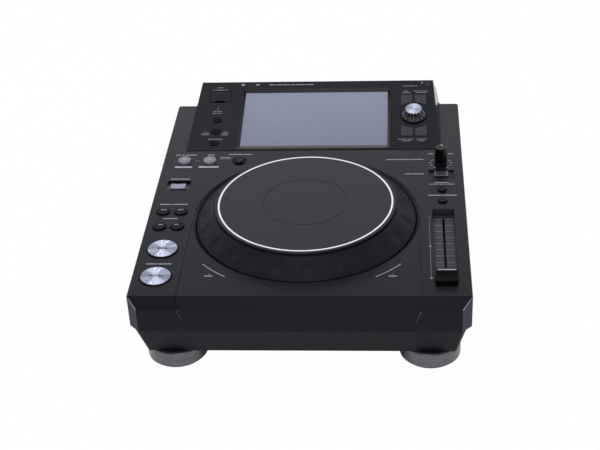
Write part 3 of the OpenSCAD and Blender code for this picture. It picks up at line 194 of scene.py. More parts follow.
class Paint(Nodes):
    """A material: one shader and the nodes that feed it."""

    def __init__(self, name, **constants):
        self.material = bpy.data.materials.new(name)
        self.material.use_nodes = True
        super().__init__(self.material.node_tree)
        self.shader = self.node("ShaderNodeBsdfPrincipled")
        self.end = self.node("ShaderNodeOutputMaterial", None, {"Surface": self.shader})
        self.set(**constants)

    def set(self, **values):
        """Feeds the shader: base_color is its socket Base Color, and so on."""
        for key, value in values.items():
            name = "Specular IOR Level" if key == "specular" else key.replace("_", " ").title()
            self.feed(self.shader.socket.node.inputs[name], value)

    def cover(self, share, colour):
        """Lays a second colour over a share of the finish."""
        self.colour = self.mix(share, self.colour, colour)
        self.set(base_color=self.colour)

    def radius(self, centre):
        """The way out from an upright line through centre."""
        out = self.vector("SUBTRACT", self.place(), tuple(centre))
        return self.vector("LENGTH", self.vector("MULTIPLY", out, (1.0, 1.0, 0.0)), out="Value")


def moulded(name, deep, pale, rough, grain=1400.0, relief=0.12, specular=0.3):
    """Moulded plastic: a fine grain in its skin and faint clouds of handling over it."""
    paint = Paint(name, specular=specular)
    where = paint.place()
    skin = paint.noise(where, grain, 2.0)
    cloud = paint.noise(where, 22.0, 3.0)
    paint.colour = paint.mix(skin * 0.55 + cloud * 0.45, tone(*deep), tone(*pale))
    paint.rough = rough + (cloud - 0.5) * 0.10 + (skin - 0.5) * 0.08
    paint.set(base_color=paint.colour, roughness=paint.rough)
    paint.set(normal=paint.bump(skin, relief, 0.08 * MM))
    return paint


def coated(name, deep, pale, rough, specular=0.3):
    """Sprayed metal: slow orange peel with a few finer specks."""
    paint = Paint(name, specular=specular)
    where = paint.place()
    peel = paint.noise(where, 420.0, 1.0)
    speck = paint.noise(where, 2600.0, 1.0)
    paint.set(base_color=paint.mix(paint.span(speck, 0.35, 0.7), tone(*deep), tone(*pale)))
    paint.set(roughness=rough + (peel - 0.5) * 0.16)
    paint.set(normal=paint.bump(peel * 0.8 + speck * 0.2, 0.18, 0.1 * MM))
    return paint


def bare_metal(name, deep, pale, rough, stretch=(1.0, 1.0, 1.0)):
    """Plated or rolled metal: fine drawn lines along one way."""
    paint = Paint(name, metallic=1.0)
    where = paint.place()
    lines = paint.noise(paint.stretch(where, *stretch), 900.0, 3.0, 0.6)
    cloud = paint.noise(where, 60.0, 2.0)
    paint.set(base_color=paint.mix(lines * 0.6 + cloud * 0.4, tone(*deep), tone(*pale)))
    paint.set(roughness=rough + (lines - 0.5) * 0.2)
    paint.set(normal=paint.bump(lines, 0.06, 0.05 * MM))
    return paint


GROOVE_PITCH = 0.22 * MM


def spun_metal(name, centre, axis, deep, pale, rough, tilt):
    """Metal turned on a lathe: rings of fine grooves, which draw light out into spokes."""
    paint = Paint(name, metallic=1.0)
    out = paint.vector("SUBTRACT", paint.place(), tuple(centre))
    height = paint.vector("DOT_PRODUCT", out, tuple(axis), out="Value")
    flat = paint.vector("SUBTRACT", out, paint.vector("SCALE", tuple(axis), Scale=height))
    radius = paint.vector("LENGTH", flat, out="Value")
    outward = paint.vector("NORMALIZE", flat)
    wobble = paint.noise(outward, 9.0, 3.0)
    groove = paint.maths("SINE", radius * (2 * pi / GROOVE_PITCH))
    fine = paint.noise(paint.vector("SCALE", tuple(axis), Scale=radius), 5200.0, 2.0)
    lean = paint.vector("SCALE", outward, Scale=(groove * 0.7 + (fine - 0.5)) * tilt)
    normal = paint.vector("NORMALIZE", paint.vector("ADD", tuple(axis), lean))
    turned = paint.node(
        "ShaderNodeVectorTransform",
        {"vector_type": "NORMAL", "convert_from": "OBJECT", "convert_to": "WORLD"},
        {0: normal},
    )
    paint.set(base_color=paint.mix(wobble * 0.7 + fine * 0.3, tone(*deep), tone(*pale)))
    paint.set(roughness=rough + (fine - 0.5) * 0.15, normal=turned)
    return paint


JOG_FILM_PITCH = 0.8 * MM


def jog_top_paint():
    """The jog wheel's top: satin film with very fine rings about the middle."""
    paint = Paint("jog_top_film", specular=0.22)
    out = paint.vector("SUBTRACT", paint.place(), tuple(JOG))
    rings = paint.maths("SINE", paint.radius(JOG) * (2 * pi / JOG_FILM_PITCH))
    skin = paint.noise(out, 1700.0, 2.0)
    cloud = paint.noise(out, 14.0, 2.0)
    paint.set(base_color=paint.mix(skin * 0.5 + cloud * 0.5, tone(18, 17, 26), tone(26, 25, 36)))
    paint.set(roughness=0.46 + (skin - 0.5) * 0.12 + rings * 0.02)
    paint.set(normal=paint.bump(skin * 0.7 + rings * 0.12, 0.12, 0.08 * MM))
    return paint


def glass_paint():
    """The dark touch screen: clear glass over a grey that is paler towards its top, with a faint cell grid.
    """
    paint = Paint("screen_glass", roughness=0.16, specular=0.5, coat_weight=0.25, coat_roughness=0.04)
    where = paint.place()
    low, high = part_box("touch_screen")
    rise = paint.span(paint.part(where, "Y"), low.y, high.y)
    cells = paint.noise(paint.stretch(where, 900.0, 60.0, 60.0), 1.0, 1.0)
    share = rise * 0.85 + (cells - 0.5) * 0.25
    paint.set(base_color=paint.mix(share, tone(129, 135, 155), tone(152, 156, 178)))
    return paint


FOOT_RUBBER_H = 2.4 * MM
FOOT_RIM_H = 1.0 * MM


def foot_paint():
    """The feet: grey metal band with lines turned round it, black rubber below, and dark at the upper rim."""
    paint = Paint("foot_band", specular=0.4)
    where = paint.place()
    height = paint.part(where, "Z")
    lines = paint.noise(paint.stretch(where, 30.0, 30.0, 1100.0), 1.0, 3.0, 0.65)
    skin = paint.noise(where, 900.0, 2.0)
    band = paint.mix(lines * 0.8 + skin * 0.2, tone(56, 56, 60), tone(134, 134, 140))
    rubber_and_dark_rim = paint.mix(skin, tone(20, 20, 22), tone(34, 34, 36))
    in_band = (height > FOOT_RUBBER_H) * (height < FOOT_TOP - FOOT_RIM_H)
    paint.set(base_color=paint.mix(in_band, rubber_and_dark_rim, band))
    paint.set(metallic=in_band, roughness=0.62 - in_band * 0.32 + (lines - 0.5) * 0.2)
    paint.set(normal=paint.bump(lines * 0.7 + skin * 0.3, 0.15, 0.08 * MM))
    return paint


def board_paint():
    """Circuit board: green lacquer over glass weave with paler tracks."""
    paint = Paint("board_lacquer", specular=0.4)
    where = paint.place()
    weave = paint.noise(paint.stretch(where, 1.0, 4.0, 1.0), 500.0, 1.0)
    tracks = paint.node(
        "ShaderNodeTexVoronoi",
        {"feature": "DISTANCE_TO_EDGE", "distance": "EUCLIDEAN"},
        {"Vector": where, "Scale": 160.0},
    )
    line = paint.span(tracks, 0.02, 0.06, 1.0, 0.0)
    paint.set(base_color=paint.mix(line * 0.6 + weave * 0.2, tone(24, 70, 42), tone(70, 122, 78)))
    paint.set(roughness=0.42 + (weave - 0.5) * 0.2, normal=paint.bump(line + weave * 0.3, 0.1, 0.1 * MM))
    return paint


def ring_paint():
    """The white ring: white with a faint glow, a little uneven in broad patches."""
    paint = Paint("ring_acrylic", specular=0.4, emission_strength=0.06)
    where = paint.vector("SUBTRACT", paint.place(), tuple(JOG))
    patches = paint.noise(where, 45.0, 2.0)
    skin = paint.noise(where, 1800.0, 1.0)
    glow = paint.mix(patches * 0.8 + skin * 0.2, tone(224, 226, 232), tone(243, 244, 247))
    paint.set(base_color=glow, emission_color=glow, roughness=0.32 + (skin - 0.5) * 0.12)
    return paint


def ink_paint(name, deep, pale):
    """Screen print: thin matt ink with tiny gaps where the skin's grain shows."""
    paint = Paint(name, specular=0.25)
    where = paint.place()
    gaps = paint.noise(where, 3800.0, 1.0)
    paint.set(base_color=paint.mix(paint.span(gaps, 0.3, 0.6), tone(*deep), tone(*pale)))
    paint.set(roughness=0.55 + (gaps - 0.5) * 0.2)
    return paint


def socket_paint(name, deep, mouth, shell, inside):
    """A socket: metal at its mouth at the rear, dark moulding further in."""
    paint = Paint(name)
    where = paint.place()
    at_mouth = paint.span(paint.part(where, "Y"), deep, mouth)
    lines = paint.noise(paint.stretch(where, 1.0, 0.1, 3.0), 1500.0, 2.0)
    metal = paint.mix(lines, tone(*shell), tone(214, 214, 220))
    paint.set(base_color=paint.mix(at_mouth, tone(*inside), metal))
    paint.set(metallic=at_mouth, roughness=0.4 + (lines - 0.5) * 0.2)
    paint.set(normal=paint.bump(lines, 0.06, 0.05 * MM))
    return paint


PANEL_AXIS = tuple(PANEL_NORMAL)
UP = (0.0, 0.0, 1.0)
SOCKET_DEEP_Y = 0.176
SOCKET_MOUTH_Y = 0.183
CAP_TONES = (136, 141, 162), (178, 183, 202)

# Plastics: name, deep and pale tone, roughness, fineness and relief of the grain, specular level
deck_paint = moulded("deck_plastic", (15, 15, 24), (23, 23, 34), 0.38, 1500.0, 0.14, 0.135)
unit_paint = moulded("unit_plastic", (28, 28, 33), (39, 39, 46), 0.2, 1700.0, 0.08, 0.2)
frame_paint = moulded("frame_plastic", (10, 10, 15), (18, 18, 25), 0.3, 1900.0, 0.05, 0.26)
black_paint = moulded("black_plastic", (10, 10, 12), (18, 18, 21), 0.42, 1800.0, 0.06, 0.18)
jog_black = moulded("jog_black", (28, 28, 33), (38, 38, 45), 0.4, 1500.0, 0.1, 0.06)
key_black = moulded("key_black", (7, 7, 9), (14, 14, 17), 0.38, 1700.0, 0.06, 0.07)
key_soft = moulded("key_soft", (22, 22, 26), (32, 32, 37), 0.4, 1700.0, 0.06, 0.1)
key_grey = moulded("key_grey", (120, 120, 132), (149, 149, 163), 0.42, 1600.0, 0.06, 0.4)
key_smoke = moulded("key_smoke", (47, 49, 56), (61, 63, 72), 0.3, 1900.0, 0.04, 0.35)
lever_lilac = moulded("lever_lilac", (129, 130, 148), (153, 154, 172), 0.42, 1600.0, 0.06, 0.4)
knob_black = moulded("knob_black", (7, 7, 9), (14, 14, 17), 0.3, 1900.0, 0.05, 0.14)
selector_black = moulded("selector_black", (11, 11, 13), (19, 19, 22), 0.28, 1900.0, 0.05, 0.5)
fader_grey = moulded("fader_grey", (35, 35, 42), (48, 48, 56), 0.45, 1700.0, 0.08, 0.25)
cap_black = moulded("cap_black", (8, 8, 9), (15, 15, 17), 0.4, 1700.0, 0.06, 0.06)
# Painted light: a grey strip laid in the gap round the screen unit
gap_painted_light_grey = moulded("gap_painted_light_grey", (42, 42, 48), (56, 56, 63), 0.5, 1700.0, 0.06, 0.1)
# Painted highlights: pale rods along the seams and the corner edges of the case's front
seam_painted_highlight = moulded("seam_painted_highlight", (92, 92, 99), (116, 116, 124), 0.35, 1500.0, 0.04, 0.3)
edge_painted_highlight = moulded("edge_painted_highlight", (118, 118, 126), (150, 150, 160), 0.3, 1500.0, 0.04, 0.5)

# Sprayed metals: name, deep and pale tone, roughness, specular level
tray_paint = coated("tray_paint", (13, 13, 21), (20, 20, 31), 0.46, 0.1)
rear_paint = coated("rear_paint", (24, 24, 27), (36, 36, 40), 0.5, 0.2)

# Bare metals: name, deep and pale tone, roughness, how the drawn lines are stretched
steel = bare_metal("steel", (120, 120, 124), (178, 178, 184), 0.32, (1.0, 1.0, 6.0))
bronze = bare_metal("bearing_bronze", (120, 88, 50), (172, 132, 78), 0.36)
audio_metal = bare_metal("audio_metal", (150, 148, 142), (206, 204, 198), 0.28)

# Sockets: name, where the dark moulding ends and the bright mouth starts, tones of shell and inside
nickel = socket_paint("socket_nickel", SOCKET_DEEP_Y, SOCKET_MOUTH_Y, (150, 150, 156), (14, 14, 16))

# Turned metals: name, middle and axis of the turning, deep and pale tone, roughness, tilt of the grooves
cue_silver = spun_metal("cue_silver", middle("cue_cap"), UP, *CAP_TONES, 0.14, 0.5)
play_silver = spun_metal("play_silver", middle("play_cap"), UP, *CAP_TONES, 0.14, 0.5)
selector_silver = spun_metal(
    "selector_silver", middle("selector_cap"), PANEL_AXIS, (164, 168, 190), (198, 202, 222), 0.3, 0.3
)

# Inks: name, deep and pale tone
white_ink = ink_paint("white_ink", (128, 128, 137), (166, 166, 175))
bright_ink = ink_paint("bright_ink", (142, 142, 154), (178, 178, 190))
dark_ink = ink_paint("dark_ink", (12, 12, 16), (24, 24, 30))
faint_ink = ink_paint("faint_ink", (96, 96, 104), (122, 122, 130))
dim_ink = ink_paint("dim_ink", (66, 66, 73), (84, 84, 92))
# Painted shade: near-black bars for the ends of the jog mode key's recess
slot_painted_shade = ink_paint("slot_painted_shade", (4, 4, 5), (9, 9, 11))

# What differs over one finish: painted light on the case's corner faces, painted shade along the fader
# plate's edges, the loop keys' rings, painted shade in the loop keys' wells, painted highlights on the
# selector's ribs, painted shade round its dish, painted light in the lever's and the fader's pits, the screen
# unit's smoother sides

# Painted light: a paler tone on the case's corner faces stands in for the light that falls on them; they are
# also made matter
FACET_PAINTED_LIGHT_TONE = tone(86, 86, 98)
FACET_PAINTED_LIGHT_SHARE = 0.8
FACET_MATT = 0.52
facing = deck_paint.node("ShaderNodeTexCoord", out="Normal")
corner_face = abs(deck_paint.part(facing, "X")) * (0 - deck_paint.part(facing, "Y"))
on_corner = deck_paint.span(corner_face, 0.3, 0.45)
deck_paint.cover(on_corner * FACET_PAINTED_LIGHT_SHARE, FACET_PAINTED_LIGHT_TONE)
deck_paint.set(roughness=deck_paint.rough + on_corner * FACET_MATT)

# Painted shade: the fader plate darkens along its sides and towards its rear end, where the recess walls
# shade it
PLATE_PAINTED_SHADE_TONE = tone(18, 18, 20)
FADER_LOW, FADER_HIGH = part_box("fader_plate")
plate = fader_grey.place()
plate_half = (FADER_HIGH.x - FADER_LOW.x) / 2
plate_out = abs(fader_grey.part(plate, "X") - (FADER_LOW.x + FADER_HIGH.x) / 2)
plate_side_shade = fader_grey.span(plate_out, plate_half - 2.0 * MM, plate_half - 0.6 * MM, 0.0, 0.85)
plate_back = fader_grey.part(plate, "Y") - FADER_HIGH.y
plate_end_shade = fader_grey.span(plate_back, -11 * MM, -2 * MM, 0.0, 0.8)
fader_grey.cover(fader_grey.maths("MAXIMUM", plate_side_shade, plate_end_shade), PLATE_PAINTED_SHADE_TONE)

LOOP_RING_TONE = tone(66, 66, 76)
LOOP_RING_R = 3.9 * MM
key_out = [key_grey.radius(middle(name)) for name in LOOP_KEYS]
loop_ring = abs(key_grey.maths("MINIMUM", *key_out) - LOOP_RING_R)
key_grey.cover(key_grey.span(loop_ring, 0.3 * MM, 0.8 * MM, 0.75, 0.0), LOOP_RING_TONE)

RIB_PAINTED_HIGHLIGHT_TONE = tone(108, 108, 115)
DISH_PAINTED_SHADE_TONE = tone(12, 12, 15)
SELECTOR_RIBS = 16
SELECTOR_DISH_R = 14.5 * MM
SELECTOR_FOOT_H = 1.7 * MM
SELECTOR_MID = middle("selector_cap")
UP_SLOPE = tuple(ON_PANEL.to_3x3() @ Vector((0, 1, 0)))


def beside_selector(paint):
    """How far to the side of the selector's axis a point lies, and how far up the slope."""
    out = paint.vector("SUBTRACT", paint.place(), tuple(SELECTOR_MID))
    return paint.part(out, "X"), paint.vector("DOT_PRODUCT", out, UP_SLOPE, out="Value")


# Painted highlights: a paler tone on the crests of the selector's ribs, above its foot
across, along = beside_selector(selector_black)
rib_turn = selector_black.maths("ARCTAN2", along, across) * SELECTOR_RIBS
crest_highlight = selector_black.span(selector_black.maths("COSINE", rib_turn), 0.55, 0.95, 0.0, 0.85)
over_panel = selector_black.vector("SUBTRACT", selector_black.place(), tuple(PANEL_FRONT))
height = selector_black.vector("DOT_PRODUCT", over_panel, PANEL_AXIS, out="Value")
selector_black.cover(crest_highlight * (height > SELECTOR_FOOT_H), RIB_PAINTED_HIGHLIGHT_TONE)

# Painted shade: a dark ring on the panel at the rim of the selector's dish, where the keys' cut-outs meet it
across, along = beside_selector(unit_paint)
away = unit_paint.maths("SQRT", across * across + along * along)
dish_shade = unit_paint.span(away, SELECTOR_DISH_R - 0.6 * MM, SELECTOR_DISH_R, 0.75, 0.0)
unit_paint.cover(dish_shade, DISH_PAINTED_SHADE_TONE)

# Painted shade: the deck darkens in a ring round each loop key, where the key's well lies in shade
WELL_PAINTED_SHADE_TONE = tone(8, 8, 10)
WELL_R = 6.6 * MM
WELL_EDGE_R = 8.2 * MM
well_out = [deck_paint.radius(middle(name)) for name in LOOP_KEYS]
well = deck_paint.maths("MINIMUM", *well_out)
deck_paint.cover(deck_paint.span(well, WELL_R, WELL_EDGE_R, 0.8, 0.0), WELL_PAINTED_SHADE_TONE)

# Painted light: a paler tone on the sunken walls and floor of the lever's and the fader's pits, which would
# otherwise lie in deep shade
PIT_PAINTED_LIGHT_TONE = tone(66, 66, 72)
PIT_PAINTED_LIGHT_SHARE = 0.9
PIT_ROOM = 6.0 * MM
PIT_DOWN = 0.3 * MM
LEVER_LOW, LEVER_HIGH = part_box("direction_lever")
pit = deck_paint.place()
pit_down = deck_paint.part(pit, "Z") < DECK_Z - PIT_DOWN
for low, high, start in (
    (LEVER_LOW, LEVER_HIGH, LEVER_LOW.y - PIT_ROOM),
    (FADER_LOW, FADER_HIGH, FADER_HIGH.y - PIT_ROOM / 2),
):
    beside = abs(deck_paint.part(pit, "X") - (low.x + high.x) / 2) < (high.x - low.x) / 2 + PIT_ROOM
    past = deck_paint.part(pit, "Y") > start
    near = deck_paint.part(pit, "Y") < high.y + PIT_ROOM
    deck_paint.cover(pit_down * beside * past * near * PIT_PAINTED_LIGHT_SHARE, PIT_PAINTED_LIGHT_TONE)

SIDE_GLOSS = 0.08
facing = unit_paint.node("ShaderNodeTexCoord", out="Normal")
unit_side = unit_paint.span(abs(unit_paint.part(facing, "X")), 0.5, 0.8)
unit_paint.set(roughness=unit_paint.rough - unit_side * SIDE_GLOSS)

NODE_PAINTS = {
    deck_paint: ["top_case"],
    tray_paint: ["bottom_case"],
    rear_paint: ["rear_panel"],
    foot_paint(): ["feet"],
    steel: ["case_screws", "jog_shaft", "selector_shaft", "jog_code_disc"],
    bronze: ["jog_bearing"],
    nickel: ["lan_socket", "usb_device_socket", "usb_port"],
    audio_metal: ["audio_sockets"],
    unit_paint: ["screen_housing", "usb_flap"],
    frame_paint: ["screen_frame"],
    glass_paint(): ["touch_screen"],
    black_paint: [
        "power_inlet", "key_switches", "jog_sensor", "speed_pot", "selector_encoder", "direction_switch",
        "fader_lever", "fader_unit",
    ],
    board_paint(): ["main_board", "power_board", "key_boards"],
    fader_grey: ["fader_plate"],
    jog_black: ["jog_skirt", "jog_base"],
    jog_top_paint(): ["jog_plate"],
    ring_paint(): ["jog_ring"],
    key_black: [
        "cue_button", "play_button", "track_back_button", "track_next_button", "search_back_button",
        "search_next_button", "tempo_range_button", "master_tempo_button",
        "usb_stop_button", "time_mode_button", "quantize_button", "power_button",
    ],
    cap_black: ["fader_cap"],
    key_soft: ["loop_exit_button"],
    key_grey: LOOP_KEYS,
    key_smoke: ["browse_key_1", "browse_key_2", "browse_key_3", "browse_key_4", "jog_mode_button"],
    lever_lilac: ["direction_lever"],
    knob_black: ["speed_knob"],
    selector_black: ["selector_knob"],
    cue_silver: ["cue_cap"],
    play_silver: ["play_cap"],
    selector_silver: ["selector_cap"],
}
for paint, names in NODE_PAINTS.items():
    for name in names:
        for holder in frame["nodes"][name].material_slots:
            holder.material = paint.material


# Printed marks, in millimetres from a spot

def bar(spot, dx, dy, width, height, turn=0.0):
    return ("bar", spot[0] + dx, spot[1] + dy, width, height, turn)


def dot(spot, dx, dy, radius):
    return ("dot", spot[0] + dx, spot[1] + dy, radius)


def arrow(spot, dx, dy, radius, turn=0.0):
    """A small triangle; turn 0 points to +x."""
    return ("arrow", spot[0] + dx, spot[1] + dy, radius, turn)


def label(spot, dx, dy, width, words=(1,), height=LABEL_H):
    """A row of plain bars where a label stands: one bar for each word, as long as its share."""
    room = width - WORD_GAP * (len(words) - 1)
    bars = []
    x = dx - width / 2
    for share in words:
        length = room * share / sum(words)
        bars.append(bar(spot, x + length / 2, dy, length, height))
        x += length + WORD_GAP
    return bars


def panel_label(spot, dx, dy, width, words=(1,)):
    return label(spot, dx, dy, width, words, PANEL_LABEL_H)


def add_mark(kind, x, y, *sizes):
    """Adds one mark, flat and face up, to the mesh in hand."""
    spot = (x * MM, y * MM, 0)
    if kind == "bar":
        width, height, turn = sizes
        bpy.ops.mesh.primitive_plane_add(size=MM, location=spot)
        bpy.ops.transform.resize(value=(width, height, 1), center_override=spot)
        bpy.ops.transform.rotate(value=turn, orient_axis="Z", center_override=spot)
    elif kind == "dot":
        radius = sizes[0] * MM
        bpy.ops.mesh.primitive_circle_add(vertices=20, radius=radius, fill_type="NGON", location=spot)
    else:
        radius, turn = sizes
        bpy.ops.mesh.primitive_circle_add(
            vertices=3, radius=radius * MM, fill_type="NGON", location=spot, rotation=(0, 0, turn - pi / 2)
        )


def clear_selection():
    bpy.ops.object.select_all(action="DESELECT")


def close_piece(name, body, paint, smooth=30):
    """Names the piece in hand, sets its place into its mesh, and lets it ride on its body."""
    piece = bpy.context.object
    piece.name = name
    piece.data.name = name
    bpy.ops.object.transform_apply(location=True, rotation=True, scale=True)
    bpy.ops.object.shade_smooth_by_angle(angle=radians(smooth))
    piece.data.materials.append(paint.material)
    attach(piece, body)
    return piece


def thicken(thickness):
    """Gives the flat piece in hand its thickness, upwards."""
    piece = bpy.context.object
    sheet = piece.modifiers.new("thickness", "SOLIDIFY")
    sheet.thickness = thickness
    sheet.offset = 1
    bpy.ops.object.modifier_apply(modifier=sheet.name)


def print_piece(name, surface, marks, paint, body, thickness=PRINT_T + PRINT_SINK):
    """Marks on one surface as one thin print: they are drawn flat, and surface lays them on."""
    clear_selection()
    add_mark(*marks[0])
    bpy.ops.object.transform_apply(location=True, rotation=True, scale=True)
    bpy.ops.object.mode_set(mode="EDIT")
    for mark in marks[1:]:
        add_mark(*mark)
    bpy.ops.mesh.select_all(action="SELECT")
    bpy.ops.mesh.bevel(offset=MARK_ROUND, segments=3, affect="VERTICES", clamp_overlap=True)
    bpy.ops.mesh.normals_make_consistent(inside=False)
    bpy.ops.object.mode_set(mode="OBJECT")
    if bpy.context.object.data.polygons[0].normal.z < 0:
        bpy.context.object.data.flip_normals()
    thicken(thickness)
    bpy.context.object.matrix_world = surface @ Matrix.Translation((0, 0, -PRINT_SINK))
    close_piece(name, body, paint)


loop_in = deck_spot("loop_in_button")
loop_out = deck_spot("loop_out_button")
loop_exit = deck_spot("loop_exit_button")
lever = deck_spot("direction_lever")
track = deck_spot("track_back_button", "track_next_button")
search = deck_spot("search_back_button", "search_next_button")
play = deck_spot("play_cap")
speed = deck_spot("speed_knob")
mode = deck_spot("jog_mode_button")
tempo = deck_spot("tempo_range_button")
master = deck_spot("master_tempo_button")
jog = JOG.xy / MM

# Each label: its spot, how far right and up of it, its width and the shares of its words
deck_labels = [
    *label(loop_in, 0, 13.0, 22.4, (2, 1, 4)),
    *label(loop_out, 0, 13.0, 7.4),
    *label(loop_exit, 0, 13.7, 24.5, (5, 3)),
    *label(loop_exit, -15, 7.2, 10.6),
    bar(loop_exit, -15.5, 4.6, 11.5, 0.45),
    bar((loop_in + loop_out) / 2, 0, 1, 5, 0.5),
    *label(lever, 0, 14.9, 19.2),
    *label(track, 0, 13.0, 27.6, (5, 6)),
    *label(search, 0, 13.6, 14.4),
    *label(play, 0, 20.0, 23.4, (4, 5)),
    *label(speed, -36, 7.8, 38, (5, 5, 6)),
    *label(speed, -9.7, 18.8, 5.6),
    *label(speed, 10.5, 18.6, 5.2),
    *label(mode, -26.9, 0, 19, (3, 4)),
    *label(tempo, 0, 13.6, 14),
    *label(tempo, 0, 10.6, 25, (1, 2, 2, 3), 1.15),
    *label(master, 0, 10.2, 28.6, (6, 6)),
]
loop_bars = [
    bar(loop_in, 0, -11, 17.7, 3.2),
    bar(loop_out, 0, -11, 20.8, 3.2),
]
SPEED_SWEEP = radians(140)
SPEED_TICKS = 11
SPEED_TICK_R = 10.4
speed_ticks = []
for step in range(SPEED_TICKS):
    tick_turn = pi / 2 + SPEED_SWEEP * (1 - 2 * step / (SPEED_TICKS - 1))
    tick_spot = speed + SPEED_TICK_R * Vector((cos(tick_turn), sin(tick_turn)))
    speed_ticks.append(bar(tick_spot, 0, 0, 3.0, 0.9, tick_turn))

ARROW_MARK_X = 83
ARROW_MARK_Y = -98.5
ARROW_OVER = 3.2
for side in (-1, 1):
    outward = pi / 2 - side * pi / 2
    deck_labels.append(arrow(jog, side * ARROW_MARK_X, ARROW_MARK_Y + ARROW_OVER, 0.9, outward))
    deck_labels += label(jog, side * ARROW_MARK_X, ARROW_MARK_Y, 7.6)

SCALE_LOW = -158.1
SCALE_HIGH = -57.7
SCALE_BESIDE = 1.6
scale_long = SCALE_HIGH - SCALE_LOW
scale = Vector((FADER_LOW.x / MM - SCALE_BESIDE, (SCALE_LOW + SCALE_HIGH) / 2))
fader_scale = [
    bar(scale, 0, 0, 0.45, scale_long),
    bar(scale, 0, scale_long / 2, 2.6, 0.7),
]
fader_dots = [
    dot(scale, 0, 0, 1.2),
    dot(scale, 0, -scale_long / 2, 1.2),
]

stop = panel_spot("usb_stop_button")
time_key = panel_spot("time_mode_button")
quantize = panel_spot("quantize_button")
browse_back = panel_spot("browse_key_1"), panel_spot("browse_key_2")
browse_front = panel_spot("browse_key_3"), panel_spot("browse_key_4")
panel_top = Vector((0, 106.2))
flap_left = Vector((-104, 0))
panel_labels = [
    *panel_label(flap_left, -1.3, 101.9, 7),
    *panel_label(flap_left, -1.3, 97.8, 15.5, (1, 4, 1)),
    bar(stop, -1, 22.2, 0.6, 2.4),
    arrow(stop, -1, 18.2, 1.3, pi / 2),
    *panel_label(stop, -1, 14.6, 9.5),
    *panel_label(stop, -1.4, 11.6, 10.5, (2, 3)),
    *panel_label(time_key, -10.6, -2.0, 6.6),
    *panel_label(time_key, -10.9, -4.6, 9.2),
    dot(time_key, -10.6, 1.4, 0.5),
    *panel_label(time_key, 10.1, -0.6, 4.2),
    *panel_label(time_key, 10.2, -3.0, 8.4),
    *panel_label(time_key, 10.2, -5.4, 6.2),
    *label(quantize, 0.4, 6.0, 15.5),
    *panel_label(browse_back[0], -0.2, 15.2, 5),
    *panel_label(browse_back[0], -0.2, 12.6, 9.5),
    *panel_label(browse_back[1], 0.6, 15.2, 15, (2, 4)),
    *panel_label(browse_back[1], 1.0, 12.6, 11.5),
    *panel_label(browse_front[0], -1.6, -13.0, 16.5, (3, 2)),
    *panel_label(browse_front[0], -0.6, -15.6, 9.5),
    *panel_label(browse_front[1], 0.4, -13.0, 11),
    *panel_label(browse_front[1], 0.2, -15.6, 6.5),
    *panel_label(panel_top, 101.1, -4.4, 16, (5, 1)),
]
panel_top_labels = [
    bar(panel_top, -64.8, 0.2, 4.2, 1.6),
    *panel_label(panel_top, -27.8, -0.2, 48.4, (3, 2, 3, 2, 4, 3)),
]
panel_lamps = [
    dot(panel_top, 114.2, 1.0, 1.1),
    dot(panel_top, -81, 0.3, 1.8),
]

print_piece("deck_labels", ON_DECK, deck_labels, white_ink, "case")
print_piece("speed_ticks", ON_DECK, speed_ticks, white_ink, "case")
print_piece("loop_bars", ON_DECK, loop_bars, bright_ink, "case")
print_piece("fader_scale", ON_DECK, fader_scale, faint_ink, "case")
print_piece("fader_dots", ON_DECK, fader_dots, bright_ink, "case")
print_piece("panel_labels", ON_PANEL, panel_labels, faint_ink, "case")
print_piece("panel_top_labels", ON_PANEL, panel_top_labels, white_ink, "case")
print_piece("panel_lamps", ON_PANEL, panel_lamps, white_ink, "case")


def key_symbol(key, node, marks, paint, up=0.0):
    """Marks on the top of a key, drawn about its middle, which move with it."""
    spot = middle(node)
    top = Matrix.Translation((spot.x, spot.y + up * MM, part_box(node)[1].z))
    print_piece(key + "_symbol", top, marks, paint, key)


KEY_MIDDLE = (0, 0)
SKIP_R = 1.35
SKIP_UP = 1.4
for side, word in ((-1, "back"), (1, "next")):
    point = pi / 2 - side * pi / 2
    skip = [arrow(KEY_MIDDLE, side * x, 0, SKIP_R, point) for x in (-2.0, 0.2)]
    end = [bar(KEY_MIDDLE, side * 2.0, 0, 0.6, 2.3)]
    for key, marks in (("track_" + word, skip + end), ("search_" + word, skip)):
        key_symbol(key, key + "_button", marks, bright_ink, SKIP_UP)

play_marks = [
    arrow(KEY_MIDDLE, -4.4, 0, 1.7),
    bar(KEY_MIDDLE, 0, 0, 0.6, 3.0, radians(-20)),
    bar(KEY_MIDDLE, 3.6, 0, 0.9, 2.8),
    bar(KEY_MIDDLE, 5.4, 0, 0.9, 2.8),
]
key_symbol("play", "play_cap", play_marks, dark_ink)
cue_marks = [bar(KEY_MIDDLE, x, 0, 2.4, 2.2) for x in (-3.4, 0, 3.4)]
key_symbol("cue", "cue_cap", cue_marks, dark_ink)


# The arcs beside the jog wheel

ARC_R = 120.5 * MM
ARC_W = 0.9 * MM
ARC_START = radians(221.4)
ARC_SWEEP = radians(14.3)
ARC_STEPS = 24


def pick(test):
    """Selects the vertices of the piece in hand that pass a test of their place."""
    mesh = bpy.context.object.data
    bpy.ops.mesh.select_all(action="DESELECT")
    bpy.ops.object.mode_set(mode="OBJECT")
    for vertex in mesh.vertices:
        vertex.select = test(vertex.co)
    bpy.ops.object.mode_set(mode="EDIT")


